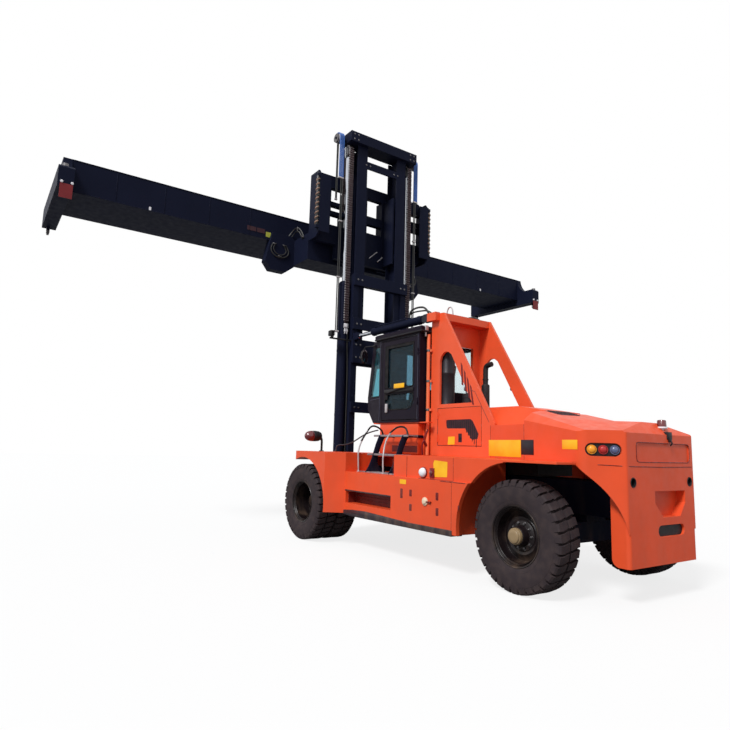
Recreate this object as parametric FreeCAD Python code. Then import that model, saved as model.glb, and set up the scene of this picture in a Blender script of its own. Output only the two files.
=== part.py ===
import FreeCAD, Part
import math
import os

from FreeCAD import Vector

# Container forklift: a counterbalance truck with a two-stage mast and a 40 ft top-lift spreader.
# Millimetres. +X is forward, +Y is the truck's left and +Z is up; the wheels stand on Z = 0.
# The model is drawn from the drive axle and moved forward by ORIGIN_X at the end, so that the
# origin lies under the middle of the whole machine.

# Driving dimensions
ORIGIN_X = 1115.0
WHEELBASE = 4600.0
TYRE_R = 670.0
TYRE_W = 385.0
DRIVE_Y = (1192.5, 1604.5)
STEER_Y = 1194.5
KINGPIN_Y = 850.0
GROUND_CLEAR = 560.0
DECK_Z = 1570.0
LEDGE_Z = 1250.0
BOX_Y = 1500.0
GANTRY_Y = 557.0
GANTRY_FRONT = -2110.0
GANTRY_TOP = 3950.0
BODY_REAR = -5680.0
MAST_TOP = 8278.0
MAST_REAR = 164.0
OUTER_TOP = 5200.0
ROD_X = 415.0
ROD_R = 48.0
LIFT_BARREL_R = 104.0
ROD_Y = 785.0
TILT_Y = 610.0
TILT_Z = 3880.0
TILT_REAR_X = -2010.0
TILT_FRONT_X = 80.0
BEAM_X = (1571.0, 2887.0)
BEAM_Z = (6005.0, 6608.0)
TWISTLOCK_X = (1100.0, 3359.0)
TWISTLOCK_Y = 5992.5
TREAD_BLOCKS = 16
STEP_X = (-2100.0, -1150.0)
STEPS = ((1300.0, 1270.0), (1160.0, 1570.0), (1030.0, 1890.0))

X_AXIS = Vector(1, 0, 0)
Y_AXIS = Vector(0, 1, 0)
Z_AXIS = Vector(0, 0, 1)
SIDES = (("left", 1), ("right", -1))

nodes = {}


# Shape helpers
def box(x, y, z):
    """A box between pairs of limits on each axis."""
    low = Vector(min(x), min(y), min(z))
    return Part.makeBox(abs(x[1] - x[0]), abs(y[1] - y[0]), abs(z[1] - z[0]), low)


def rod(radius, start, end):
    """A round bar from one point to another."""
    a = Vector(*start)
    b = Vector(*end)
    return Part.makeCylinder(radius, (b - a).Length, a, b - a)


def side_prism(outline, y):
    """An outline of (x, z) points, pulled between two values of Y."""
    points = [Vector(px, y[0], pz) for px, pz in outline]
    face = Part.Face(Part.makePolygon(points + points[:1]))
    return face.extrude(Vector(0, y[1] - y[0], 0))


def plan_prism(outline, z):
    """An outline of (x, y) points, pulled between two heights."""
    points = [Vector(px, py, z[0]) for px, py in outline]
    face = Part.Face(Part.makePolygon(points + points[:1]))
    return face.extrude(Vector(0, 0, z[1] - z[0]))


def front_prism(outline, x):
    """An outline of (y, z) points, pulled between two values of X."""
    points = [Vector(x[0], py, pz) for py, pz in outline]
    face = Part.Face(Part.makePolygon(points + points[:1]))
    return face.extrude(Vector(x[1] - x[0], 0, 0))


def turned(profile, x, y, z):
    """A profile of (radius, y offset) points, turned about an axis along Y."""
    points = [Vector(x, y + offset, z + radius) for radius, offset in profile]
    face = Part.Face(Part.makePolygon(points + points[:1]))
    return face.revolve(Vector(x, y, z), Y_AXIS, 360)


def mirrored(shape):
    """The same shape on the other side of the truck."""
    return shape.mirror(Vector(0, 0, 0), Y_AXIS)


def both(shape):
    """A left-hand shape and its mirror, as one compound."""
    return [shape, mirrored(shape)]


def join(parts):
    """One fused solid."""
    shape = parts[0].multiFuse(parts[1:]) if len(parts) > 1 else parts[0]
    return shape.removeSplitter()


def pipe(radius, points, bend):
    """A round tube along straight runs that arcs of one bend radius join."""
    path = [Vector(*point) for point in points]
    edges = []
    start = path[0]
    for before, corner, after in zip(path, path[1:], path[2:]):
        back = (before - corner).normalize()
        ahead = (after - corner).normalize()
        half = back.getAngle(ahead) / 2
        reach = bend / math.tan(half)
        centre = corner + (back + ahead).normalize() * (bend / math.sin(half))
        middle = centre + (corner - centre).normalize() * bend
        enter = corner + back * reach
        leave = corner + ahead * reach
        edges.append(Part.LineSegment(start, enter).toShape())
        edges.append(Part.Arc(enter, middle, leave).toShape())
        start = leave
    edges.append(Part.LineSegment(start, path[-1]).toShape())
    section = Part.Wire([Part.makeCircle(radius, path[0], path[1] - path[0])])
    return Part.Wire(edges).makePipeShell([section], True, False)


def rounded(shape, radius, places):
    """Rounds the upright edges that stand at the given (x, y) places."""
    edges = []
    for edge in shape.Edges:
        ends = [vertex.Point for vertex in edge.Vertexes]
        if len(ends) == 2 and abs(ends[0].z - ends[1].z) > 50:
            if any(all(math.hypot(end.x - px, end.y - py) < 2 for end in ends) for px, py in places):
                edges.append(edge)
    return shape.makeFillet(radius, edges)


def add(name, parts):
    """Keeps a node: a list of separate solids, or one shape."""
    if not isinstance(parts, list):
        parts = [parts]
    solids = [solid for part in parts for solid in part.Solids]
    nodes[name] = Part.makeCompound(solids) if len(solids) > 1 else solids[0]


def on_side(shape, sign):
    """A left-hand shape on the side asked for."""
    return shape if sign > 0 else mirrored(shape)


# Wheels
def faceted_ring(x, y, profile, sides):
    """A ring of flat facets: a (radius, y offset) section carried round an axis along Y in steps."""
    step = 2 * math.pi / sides
    faces = []
    for index in range(sides):
        for (r0, y0), (r1, y1) in zip(profile, profile[1:] + profile[:1]):
            corners = [(r0, y0, index), (r1, y1, index), (r1, y1, index + 1), (r0, y0, index + 1)]
            points = [Vector(x + r * math.sin(turn * step), y + offset, TYRE_R + r * math.cos(turn * step))
                      for r, offset, turn in corners]
            faces.append(Part.Face(Part.makePolygon(points + points[:1])))
    return Part.makeSolid(Part.makeShell(faces))


def tread_block(x, y, offsets, angle):
    """One block of the tread, tapered toward its flat top."""
    outline = [(-86, 600), (86, 600), (62, TYRE_R), (-62, TYRE_R)]
    points = [Vector(px, offsets[0], pz) for px, pz in outline]
    block = Part.Face(Part.makePolygon(points + points[:1])).extrude(Vector(0, offsets[1] - offsets[0], 0))
    block.rotate(Vector(0, 0, 0), Y_AXIS, angle)
    block.translate(Vector(x, y, TYRE_R))
    return block


def tyre(x, y):
    """A carcass with two staggered rows of tread blocks."""
    bore = 330 / math.cos(math.pi / TREAD_BLOCKS)
    edge = 0.755 * TYRE_W / 2
    profile = [(bore, -edge), (500, -TYRE_W / 2), (632, -TYRE_W / 2 + 14),
               (632, TYRE_W / 2 - 14), (500, TYRE_W / 2), (bore, edge)]
    parts = [faceted_ring(x, y, profile, TREAD_BLOCKS)]
    pitch = 360 / TREAD_BLOCKS
    for index in range(TREAD_BLOCKS):
        parts.append(tread_block(x, y, (6, 172), index * pitch))
        parts.append(tread_block(x, y, (-172, -6), (index + 0.5) * pitch))
    return join(parts)


def rim(x, y, disc, hub):
    """A rim barrel with flanges, a disc between two offsets and a hub out to a radius."""
    half = 0.8 * TYRE_W / 2
    barrel = turned([(305, -half - 14), (354, -half - 14), (354, -half), (330, -half), (330, half),
                     (354, half), (354, half + 14), (305, half + 14)], x, y, TYRE_R)
    plate = turned([(hub, disc[0]), (310, disc[0]), (310, disc[1]), (hub, disc[1])], x, y, TYRE_R)
    return join([barrel, plate])


def drive_wheel(side, sign):
    inner_y, outer_y = DRIVE_Y
    middle = (inner_y + outer_y) / 2
    tyres = [tyre(0, inner_y), tyre(0, outer_y)]
    rims = join([rim(0, inner_y, (middle - inner_y - 24, middle - inner_y), 200),
                 rim(0, outer_y, (middle - outer_y, middle - outer_y + 24), 200),
                 turned([(288, -150), (312, -150), (312, 150), (288, 150)], 0, middle, TYRE_R),
                 turned([(130.05, -190), (235, -190), (235, 160), (190, 205), (0, 205), (0, 0), (130.05, 0)],
                        0, middle, TYRE_R)])
    add("drive_tyres_" + side, [on_side(part, sign) for part in tyres])
    add("drive_rims_" + side, on_side(rims, sign))


def steer_wheel(side, sign):
    x = -WHEELBASE
    hub = turned([(60.05, -60), (185, -60), (185, 24), (120, 40), (0, 40), (0, 20), (60.05, 20)],
                 x, STEER_Y, TYRE_R)
    cap = turned([(0, 40), (98, 40), (98, 190), (84, 204), (0, 204)], x, STEER_Y, TYRE_R)
    add("steer_tyre_" + side, on_side(tyre(x, STEER_Y), sign))
    add("steer_rim_" + side, on_side(join([rim(x, STEER_Y, (-20, 4), 180), hub]), sign))
    add("steer_hub_cap_" + side, on_side(cap, sign))


def steer_knuckle(side, sign):
    x = -WHEELBASE
    shape = join([rod(88, (x, KINGPIN_Y, TYRE_R - 98), (x, KINGPIN_Y, TYRE_R + 98)),
                  rod(60, (x, KINGPIN_Y, TYRE_R), (x, STEER_Y + 10, TYRE_R)),
                  rod(94, (x, KINGPIN_Y + 80, TYRE_R), (x, STEER_Y - 66, TYRE_R))])
    shape = shape.cut(rod(45.05, (x, KINGPIN_Y, TYRE_R - 110), (x, KINGPIN_Y, TYRE_R + 110)))
    add("steer_knuckle_" + side, on_side(shape, sign))


def steer_axle():
    x = -WHEELBASE
    parts = [box((x - 130, x + 130), (-620, 620), (TYRE_R - 130, TYRE_R + 130)),
             box((x - 180, x + 180), (-200, 200), (TYRE_R + 130, 900))]
    for _, sign in SIDES:
        for low, high in ((TYRE_R - 165, TYRE_R - 104), (TYRE_R + 104, TYRE_R + 165)):
            parts.append(box((x - 85, x + 85), (sign * 560, sign * (KINGPIN_Y + 60)), (low, high)))
        parts.append(box((x - 100, x + 100), (sign * 560, sign * 700), (TYRE_R - 165, TYRE_R + 165)))
        parts.append(rod(45, (x, sign * KINGPIN_Y, TYRE_R - 165), (x, sign * KINGPIN_Y, TYRE_R + 165)))
    add("steer_axle", join(parts))


def drive_axle():
    parts = [rod(190, (0, -1000, TYRE_R), (0, 1000, TYRE_R)),
             rod(270, (-360, 0, TYRE_R), (-100, 0, TYRE_R)),
             rod(130, (0, -1290, TYRE_R), (0, 1290, TYRE_R))]
    for _, sign in SIDES:
        parts.append(box((-170, -20), (sign * 330, sign * 450), (TYRE_R, 870)))
    add("drive_axle", join(parts))


# Body
def chassis():
    parts = [box((-420, -260), (-330, 330), (620, 1330)),
             box((-3560, -3400), (-330, 330), (620, 1330)),
             box((-5450, -3400), (-290, 290), (900, 1330)),
             box((-3400, -420), (-330, 330), (1290, 1330))]
    for _, sign in SIDES:
        parts.append(box((-3560, -260), (sign * 330, sign * 450), (620, 1330)))
        parts.append(box((-260, -20), (sign * 330, sign * 450), (870, 1330)))
    frame = join(parts)
    frame = frame.cut(box((-440, -255), (-280, 280), (390, 950)))
    add("chassis_frame", frame)


def side_boxes():
    """The tank boxes: a lower block, a narrower upper one and a thin skirt round the steer wheel."""
    base = [(-1000, 605), (-1000, LEDGE_Z), (-3640, LEDGE_Z), (-3640, 546), (-2544, 595), (-1483, 641)]
    parts = [side_prism(base, (450, BOX_Y)),
             box((-3640, -2300), (450, 1450), (LEDGE_Z, DECK_Z)),
             box((-4500, -3640), (1440, BOX_Y), (GROUND_CLEAR, LEDGE_Z)),
             box((-5280, -3640), (1390, 1450), (LEDGE_Z, DECK_Z)),
             box((-5190, -3640), (700, 1450), (1545, DECK_Z)),
             box((-5280, -5190), (1100, 1450), (1545, DECK_Z))]
    shape = join(parts)
    shape = shape.cut(rod(870, (-WHEELBASE, 400, TYRE_R), (-WHEELBASE, 1600, TYRE_R)))
    shape = shape.cut(box((-5300, -4500), (1300, 1600), (GROUND_CLEAR - 10, 1545)))
    shape = shape.cut(box((-2300, -1030), (1280, 1600), (735, 943)))
    add("side_boxes", both(shape))


def cab_steps():
    """Three treads between two side plates that curve up to the cab pedestal, and a dark hoop."""
    depth = 210
    stringer = [(600, 1700), (600, 1896), (1036, 1896), (1166, 1560), (1306, 1276), (1306, LEDGE_Z),
                (1090, LEDGE_Z), (1010, 1400), (930, 1540), (820, 1700)]
    parts = []
    for y, z in STEPS:
        parts.append(box(STEP_X, (y - depth, y), (z - 20, z)))
    for x in STEP_X:
        inward = 16 if x == STEP_X[0] else -16
        parts.append(front_prism(stringer, (x, x + inward)))
    hoop = pipe(14, [(-1440, 850, 1885), (-1500, 850, 2035), (-1840, 850, 2030), (-1875, 850, 1885)], 60)
    steps = join(parts + [hoop]).cut(box((-2120, -2050), (500, 640), (1600, 2000)))
    x = -1022
    rail = pipe(14, [(x, 1245, LEDGE_Z), (x, 1245, 1640), (x, 1040, 2075), (x, 800, 2070), (x, 600, 2035)], 110)
    add("cab_steps", both(steps) + both(rail.cut(nodes["cab_pedestal"])))


def fenders():
    plan = [(280, 950), (280, 1790), (-790, 1790), (-1000, BOX_Y), (-1000, 950)]
    shape = plan_prism(plan, (GROUND_CLEAR, DECK_Z))
    shape = shape.cut(rod(790, (0, 940, TYRE_R), (0, 1800, TYRE_R)))
    shape = shape.cut(box((-560, 290), (940, 1800), (500, TYRE_R)))
    inner = box((-1000, -60), (450, 950), (1330, DECK_Z))
    inner = inner.cut(box((-1000, -420), (450, 900), (1330, DECK_Z - 60)))
    shape = join([shape, inner])
    add("front_fenders", both(shape))


def fender_lamps():
    """A side lamp on a bent stalk over each front wheel: a dark housing with a lens at its outer end."""
    x, y, z = 14.0, 1400.0, 1848.0
    stalk = pipe(22, [(x, y, DECK_Z), (x, y, z), (x, y + 90, z)], 40)
    head = turned([(0, 20), (60, 20), (90, 90), (97, 160), (97, 230), (84, 300), (50, 350), (0, 362)], x, y, z)
    add("fender_lamps", both(join([stalk, head])))


def deck():
    shape = box((-2100, -300), (-450, 450), (1330, DECK_Z))
    outline = [(-2000, DECK_Z), (-1080, DECK_Z), (-1080, 1900), (-1000, 2000), (-800, 2095), (-2000, 2095)]
    pedestal = side_prism(outline, (-600, 600))
    recess = side_prism([(-1810, 1580), (-1110, 1580), (-1110, 1750), (-1810, 1750)], (560, 610))
    pedestal = pedestal.cut(recess).cut(mirrored(recess))
    lip = box((-2040, -700), (-725, 725), (2095, 2114))
    tabs = [box((-2240, -2039), (sign * 635, sign * 725), (2095, 2114)) for _, sign in SIDES]
    add("cab_pedestal", join([shape, pedestal, lip] + tabs))


FLARE_FRONT = (-3180.0, 557.0)
SHOULDER = (-5330.0, 1080.0)
TAIL_Y = 730.0


def body_at(x):
    """Half width of the flared upper body at a place along it."""
    share = (FLARE_FRONT[0] - x) / (FLARE_FRONT[0] - SHOULDER[0])
    return FLARE_FRONT[1] + share * (SHOULDER[1] - FLARE_FRONT[1])


def symmetric(plan):
    """A left-hand plan outline closed by its mirror."""
    return plan + [(px, -py) for px, py in reversed(plan)]


HOOD_REAR = -4300.0
DOOR_X = (-3260.0, -2290.0)
DOOR_Z = (1740.0, 2330.0)


def hood():
    plan = [(GANTRY_FRONT - 60, 515), (-3530, 515), (-3530, body_at(-3530)), (HOOD_REAR, body_at(HOOD_REAR))]
    shell = plan_prism(symmetric(plan), (DECK_Z, 2040))
    crest = front_prism([(-515, 2040), (515, 2040), (330, 2330), (-330, 2330)], (GANTRY_FRONT - 340, HOOD_REAR))
    crest = crest.cut(side_prism([(-3772, 2400), (-3772, 2331), (HOOD_REAR - 10, 2245), (HOOD_REAR - 10, 2400)],
                                 (-600, 600)))
    shape = join([shell, crest])
    shape = shape.cut(box((-4240, -2240), (-455, 455), (DECK_Z, 1980)))
    shape = shape.cut(box((-3230, -2330), (-600, 600), (1780, 1960)))
    add("engine_hood", shape)


def engine():
    add("engine_block", box((-4150, -2400), (-380, 380), (1345, 1900)))


HOLE_R = 50.0
# The right hole is 10 mm shallower only because two holes that end in one plane give the packer flat
# collision pieces. On the real tail the two look alike.
HOLE_DEPTH = {1: 200.0, -1: 190.0}
HOLE_Y = 620.0
HOLE_Z = 1365.0
LAMP_X = -5505.0
LAMP_Y = 905.0


def camber(sign):
    """The wedge that falls away from the middle of the tail's top toward each rear corner."""
    middle, rear, front = Vector(-5600, sign * 100, 2078), Vector(-5680, sign * 755, 1945), Vector(-4873, sign * 1000, 2040)
    normal = (rear - middle).cross(front - middle)
    if normal.z < 0:
        normal = normal * -1
    block = Part.makeBox(3000, 3000, 600, Vector(-1500, -1500, 0))
    turn = FreeCAD.Rotation(Z_AXIS, normal)
    block.Placement = FreeCAD.Placement(middle, turn)
    return block


def counterweight():
    """The cast tail: a flared upper body, facets at the corners and a narrow core between the wheels."""
    x = -WHEELBASE
    plan = [(HOOD_REAR, body_at(HOOD_REAR)), SHOULDER, (BODY_REAR, TAIL_Y)]
    places = [(SHOULDER[0], SHOULDER[1]), (SHOULDER[0], -SHOULDER[1])]
    corners = [(BODY_REAR, TAIL_Y), (BODY_REAR, -TAIL_Y)]
    upper = rounded(rounded(plan_prism(symmetric(plan), (DECK_Z, 2230)), 150, places), 45, corners)
    slope = [(HOOD_REAR + 10, 2400), (HOOD_REAR + 10, 2245), (-4873, 2094), (-5541, 2075),
             (BODY_REAR + 10, 1930), (BODY_REAR - 10, 1930), (BODY_REAR - 10, 2400)]
    upper = upper.cut(side_prism(slope, (-1200, 1200)))
    for _, sign in SIDES:
        edge = front_prism([(sign * 520, 2300), (sign * 1300, 2300), (sign * 1300, 1860), (sign * 1110, 1900)],
                           (BODY_REAR - 50, HOOD_REAR + 50))
        upper = upper.cut(edge).cut(camber(sign))
    skirt_plan = [(-5100, body_at(-5100)), SHOULDER, (BODY_REAR, TAIL_Y)]
    skirt = rounded(rounded(plan_prism(symmetric(skirt_plan), (790, DECK_Z)), 150, places), 45, corners)
    skirt = skirt.cut(rod(1085, (x, -1300, TYRE_R), (x, 1300, TYRE_R)))
    core = rounded(box((BODY_REAR, -5460), (-TAIL_Y, TAIL_Y), (420, DECK_Z)), 45, corners)
    foot = [edge for edge in core.Edges if edge.BoundBox.XMin > -5461 and edge.BoundBox.ZMax < 421]
    core = core.makeFillet(90, foot)
    shape = join([upper, skirt, core])
    for _, sign in SIDES:
        shape = shape.cut(rod(HOLE_R, (BODY_REAR - 10, sign * HOLE_Y, HOLE_Z),
                              (BODY_REAR + HOLE_DEPTH[sign], sign * HOLE_Y, HOLE_Z)))
        recess = join([box((-123, 123), (-30, 40), (1650, 1800)),
                       rod(75, (-123, -30, 1725), (-123, 40, 1725)), rod(75, (123, -30, 1725), (123, 40, 1725))])
        recess.rotate(Vector(0, 0, 0), Z_AXIS, 45)
        recess.translate(Vector(LAMP_X, LAMP_Y, 0))
        shape = shape.cut(on_side(recess, sign))
    niche = [(175, 1260), (175, 1120), (14, 957), (-369, 957), (-500, 1120), (-500, 1260)]
    shape = shape.cut(front_prism(niche, (BODY_REAR - 10, BODY_REAR + 110)))
    pill = join([box((BODY_REAR - 10, BODY_REAR + 110), (-385, 65), (735, 866)),
                 rod(65.5, (BODY_REAR - 10, 65, 800.5), (BODY_REAR + 110, 65, 800.5)),
                 rod(65.5, (BODY_REAR - 10, -385, 800.5), (BODY_REAR + 110, -385, 800.5))])
    shape = shape.cut(pill)
    badge = box((BODY_REAR - 10, BODY_REAR + 12), (-640, 530), (1600, 1820))
    add("counterweight", shape.cut(badge))


def rear_lamps():
    """Three round lamps in the recess on each corner facet."""
    lamps = []
    for offset in (-124, 0, 124):
        lamp = rod(46, (offset, -30, 1725), (offset, 24, 1725))
        lamp.rotate(Vector(0, 0, 0), Z_AXIS, 45)
        lamp.translate(Vector(LAMP_X, LAMP_Y, 0))
        lamps.append(lamp)
    add("rear_lamps", [on_side(lamp, sign) for lamp in lamps for _, sign in SIDES])


def beacon():
    x, y = -5600, -180
    stem = rod(20, (x, y, 1990), (x, y, 2035))
    lens = rod(50, (x, y, 2035), (x, y, 2115))
    top = [edge for edge in lens.Edges if edge.BoundBox.ZMin > 2114]
    shape = join([stem, lens.makeFillet(24, top)])
    add("beacon", shape.cut(nodes["counterweight"]))


HINGE_R = 9.0
DOOR_HINGE_X = -2287.5
DOOR_HINGE_Y = 567.0


def knuckles(x, y, heights, leaf):
    """Hinge knuckles about an upright axis, on a leaf that reaches to one side of it."""
    parts = []
    for z in heights:
        barrel = rod(HINGE_R, (x, y, z), (x, y, z + 60))
        plate = box((x, leaf[0]), (leaf[1], y - HINGE_R + 4), (z, z + 60))
        parts.append(join([barrel, plate]))
    return parts


def gantry():
    outline = [(GANTRY_FRONT, DECK_Z), (GANTRY_FRONT, GANTRY_TOP), (-2410, GANTRY_TOP - 20), (-3530, 2070),
               (-3530, DECK_Z)]
    window = [(-2320, 2400), (-3065, 2400), (-2640, 3130), (-2600, 3200), (-2530, 3250), (-2470, 3262),
              (-2410, 3250), (-2345, 3190), (-2320, 3110)]
    parts = []
    for _, sign in SIDES:
        y = (sign * 515, sign * GANTRY_Y)
        plate = side_prism(outline, y).cut(side_prism(window, y))
        parts.append(plate.cut(box((DOOR_X[0] - 6, DOOR_X[1] + 6), y, (DOOR_Z[0] - 6, DOOR_Z[1] + 6))))
        parts.append(box((GANTRY_FRONT, GANTRY_FRONT - 60), (sign * 357, sign * 515), (DECK_Z, GANTRY_TOP)))
        for ear in (TILT_Y - 45, TILT_Y + 25):
            parts.append(box((GANTRY_FRONT - 200, TILT_REAR_X), (sign * ear, sign * (ear + 20)),
                             (TILT_Z - 70, TILT_Z + 70)))
            parts.append(rod(70, (TILT_REAR_X, sign * ear, TILT_Z), (TILT_REAR_X, sign * (ear + 20), TILT_Z)))
        parts.append(box((GANTRY_FRONT - 200, GANTRY_FRONT - 60), (sign * 555, sign * (TILT_Y + 45)),
                         (TILT_Z - 70, TILT_Z + 70)))
        parts.append(rod(30, (TILT_REAR_X, sign * (TILT_Y - 45), TILT_Z), (TILT_REAR_X, sign * (TILT_Y + 45), TILT_Z)))
        for hinge in knuckles(DOOR_HINGE_X, DOOR_HINGE_Y, (1852, 2158), (DOOR_HINGE_X + 36, GANTRY_Y - 4)):
            parts.append(on_side(hinge, sign))
    parts.append(box((GANTRY_FRONT, GANTRY_FRONT - 60), (-515, 515), (3450, GANTRY_TOP)))
    parts.append(box((GANTRY_FRONT, -2400), (-515, 515), (3810, GANTRY_TOP - 20)))
    add("gantry_frame", join(parts))


def gantry_pipe():
    """The upright pipe in front of the left gantry plate, with its clips."""
    x = GANTRY_FRONT + 35
    y = GANTRY_Y + 37
    parts = [rod(30, (x, y, DECK_Z), (x, y, 3600))]
    for z in (2320, 2800, 3320):
        parts.append(box((GANTRY_FRONT - 40, x), (GANTRY_Y, y), (z - 20, z + 20)))
    add("gantry_pipe", join(parts))


def service_doors():
    """Side doors with a bent vent opening and a round handle hole."""
    door = box(DOOR_X, (523, GANTRY_Y), DOOR_Z)
    vent = [(-2484, 2143), (-3037, 2146), (-3084, 2115), (-3208, 1918), (-3185, 1843), (-3062, 1827),
            (-2918, 2003), (-2500, 2006)]
    door = door.cut(side_prism(vent, (547, 570)))
    for index in range(9):
        x = -2530 - 70 * index
        if x > -3000:
            door = door.fuse(box((x - 8, x + 8), (540, GANTRY_Y - 2), (2000, 2148)))
    door = door.cut(side_prism([(-2770, 1790), (-2850, 1790), (-2850, 1925), (-2770, 1925)], (545, 570)))
    hinges = knuckles(DOOR_HINGE_X, DOOR_HINGE_Y, (1790, 2220), (DOOR_HINGE_X - 40, GANTRY_Y - 4))
    shape = join([door] + hinges)
    for side, sign in SIDES:
        add("service_door_" + side, on_side(shape, sign))


def air_cleaner():
    """A can on the hood behind the cab, with a capped intake."""
    x, y = -2600, 150
    parts = [rod(120, (x, y, 2330), (x, y, 2590)), rod(60, (x, y, 2590), (x, y, 2640)),
             rod(88, (x, y, 2640), (x, y, 2700)), rod(64, (x, y, 2700), (x, y, 2725))]
    add("air_cleaner", join(parts))


def exhaust_stack():
    points = [(-2400, -430, 2040), (-2400, -430, 3130), (-2540, -430, 3150)]
    stack = pipe(45, points, 80)
    add("exhaust_stack", join([stack, rod(68, (-2400, -430, 2300), (-2400, -430, 2800))]))


# Cab
CAB_SIDE = [(-2030, 2115), (-2030, 3640), (-620, 3640), (-420, 2600), (-440, 2360), (-660, 2115)]
CAB_Y = 750.0
CAB_WALL = 50.0
CAB_TAPER_X = -950.0
CAB_NOSE = (-420.0, 678.0)
CAB_HINGE = (-1990.0, 762.0)


def cab_plan(inset):
    """The cab's plan outline, drawn in by a wall thickness: straight sides, then a taper to the nose."""
    return symmetric([(-2100, CAB_Y - inset), (CAB_TAPER_X, CAB_Y - inset), (CAB_NOSE[0], CAB_NOSE[1] - inset)])


def tapered_pane(outline, inset):
    """A thin pane that follows the cab's tapered side, cut to an (x, z) outline."""
    outer = plan_prism(cab_plan(inset), (2100, 3700))
    inner = plan_prism(cab_plan(inset + 6), (2090, 3710))
    return outer.cut(inner).common(side_prism(outline, (-900, 900)))


def cab_panels(shell):
    """The shell split where its panels meet: floor, roof, rear wall, right wall and the parts of the front."""
    floor, ceiling, rear, front = 2165, 3590, -1980, -965
    wall = (floor, ceiling)
    regions = [box((-2200, 0), (-900, 900), (2100, floor)), box((-2200, 0), (-900, 900), (ceiling, 3800)),
               box((-2200, rear), (-900, 900), wall), box((rear, front), (-900, 900), wall)]
    regions += [box((front, 0), y, wall) for y in ((-900, -600), (-600, 600), (600, 900))]
    return [solid for region in regions for solid in shell.common(region).Solids]


def cab():
    shell = side_prism(CAB_SIDE, (-CAB_Y, CAB_Y)).common(plan_prism(cab_plan(0), (2100, 3700)))
    inner = [(-1980, 2165), (-1980, 3590), (-680, 3590), (-478, 2605), (-495, 2385), (-690, 2165)]
    room = side_prism(inner, (-CAB_Y, CAB_Y)).common(plan_prism(cab_plan(CAB_WALL), (2100, 3700)))
    roof = box((-2100, -760), (-780, 780), (3640, 3740))
    rim_edges = [edge for edge in roof.Edges if edge.BoundBox.ZMin > 3739]
    roof = roof.makeChamfer(25, rim_edges)
    door_hole = box((-1990, -960), (600, 900), (2150, 3600))
    right_window = box((-1900, -1000), (-900, -600), (2650, 3500))
    front_side = [(-880, 2600), (-880, 3520), (-720, 3520), (-545, 2600)]
    rear_window = box((-2200, -1950), (-560, 560), (2650, 3450))
    screen = [(-900, 2620), (-900, 3500), (-300, 3500), (-300, 2620)]
    shell = join([shell.cut(room), roof])
    for hole in (door_hole, right_window, side_prism(front_side, (-900, 900)), rear_window,
                 side_prism(screen, (-600, 600))):
        shell = shell.cut(hole)
    hinges = knuckles(CAB_HINGE[0], CAB_HINGE[1], (2462, 3238), (CAB_HINGE[0] - 36, CAB_Y - 4))
    add("cab_shell", cab_panels(join([shell] + hinges)))
    glass = [box((-2016, -2010), (-560, 560), (2650, 3450)),
             box((-1900, -1000), (-726, -720), (2650, 3500)),
             side_prism([(-656, 3500), (-649, 3500), (-457, 2620), (-464, 2620)], (-600, 600))]
    add("cab_glass", glass + tapered_pane(front_side, 24).Solids)


def cab_door():
    outer = box((-1984, -966), (CAB_Y - 42, CAB_Y + 2), (2158, 3592))
    window = box((-1890, -1060), (600, 900), (2720, 3500))
    lower = rounded_window((-1890, -1060), (2330, 2620))
    frame = outer.cut(window).cut(lower)
    hinges = knuckles(CAB_HINGE[0], CAB_HINGE[1], (2400, 3300), (CAB_HINGE[0] + 40, CAB_Y - 2))
    add("cab_door", join([frame] + hinges))
    panes = rounded_window((-1890, -1060), (2330, 2620)).common(box((-1900, -1000), (724, 730), (2300, 2700)))
    add("door_glass", [box((-1890, -1060), (724, 730), (2720, 3500)), panes])


def rounded_window(x, z):
    """A window opening with large lower corners."""
    block = box(x, (600, 900), z)
    low = [edge for edge in block.Edges if edge.BoundBox.ZMax < z[0] + 1 and edge.BoundBox.YLength > 100]
    return block.makeFillet(170, low)


def mirror_arm():
    """An oval mirror on a bent arm at the cab's left front corner."""
    centre = Vector(-450, 812, 3371)
    edge = Part.Edge(Part.Ellipse(Vector(-465, 812, 3371 + 145), Vector(-465, 812 + 84, 3371), centre - X_AXIS * 15))
    head = Part.Face(Part.Wire([edge])).extrude(Vector(30, 0, 0))
    arm = pipe(11, [(-640, 690, 3560), (-450, 812, 3560), (-450, 812, 3480)], 30)
    arm = arm.cut(nodes["cab_shell"])
    pieces = [piece for piece in arm.Solids if piece.BoundBox.ZMin < 3500]
    add("mirror", join([head] + pieces))


def cab_inside():
    seat = join([box((-1750, -1250), (-260, 260), (2500, 2620)),
                 side_prism([(-1750, 2620), (-1620, 2620), (-1780, 3260), (-1880, 3260)], (-250, 250)),
                 box((-1640, -1360), (-170, 170), (2165, 2500))])
    add("operator_seat", seat)
    column = join([side_prism([(-900, 2165), (-780, 2165), (-920, 2760), (-1000, 2760)], (-60, 60)),
                   box((-900, -712), (-320, 320), (2165, 2230))])
    wheel = Part.makeTorus(190, 16, Vector(-985, 0, 2775), Vector(-0.4, 0, 0.92))
    spokes = rod(45, (-975, 0, 2700), (-990, 0, 2790))
    bar = box((-1155, -815), (-14, 14), (-8, 8))
    bar.translate(Vector(985, 0, 0))
    bar.rotate(Vector(0, 0, 0), Y_AXIS, -23.5)
    bar.translate(Vector(-985, 0, 2775))
    cross = rod(12, (-985, -185, 2775), (-985, 185, 2775))
    add("steering_console", join([column, wheel, spokes, bar, cross]))


# Mast
def outer_channel():
    return join([box((220, 650), (650, 680), (420, OUTER_TOP)),
                 box((220, 248), (545, 650), (420, OUTER_TOP)),
                 box((622, 650), (545, 650), (420, OUTER_TOP))])


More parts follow.
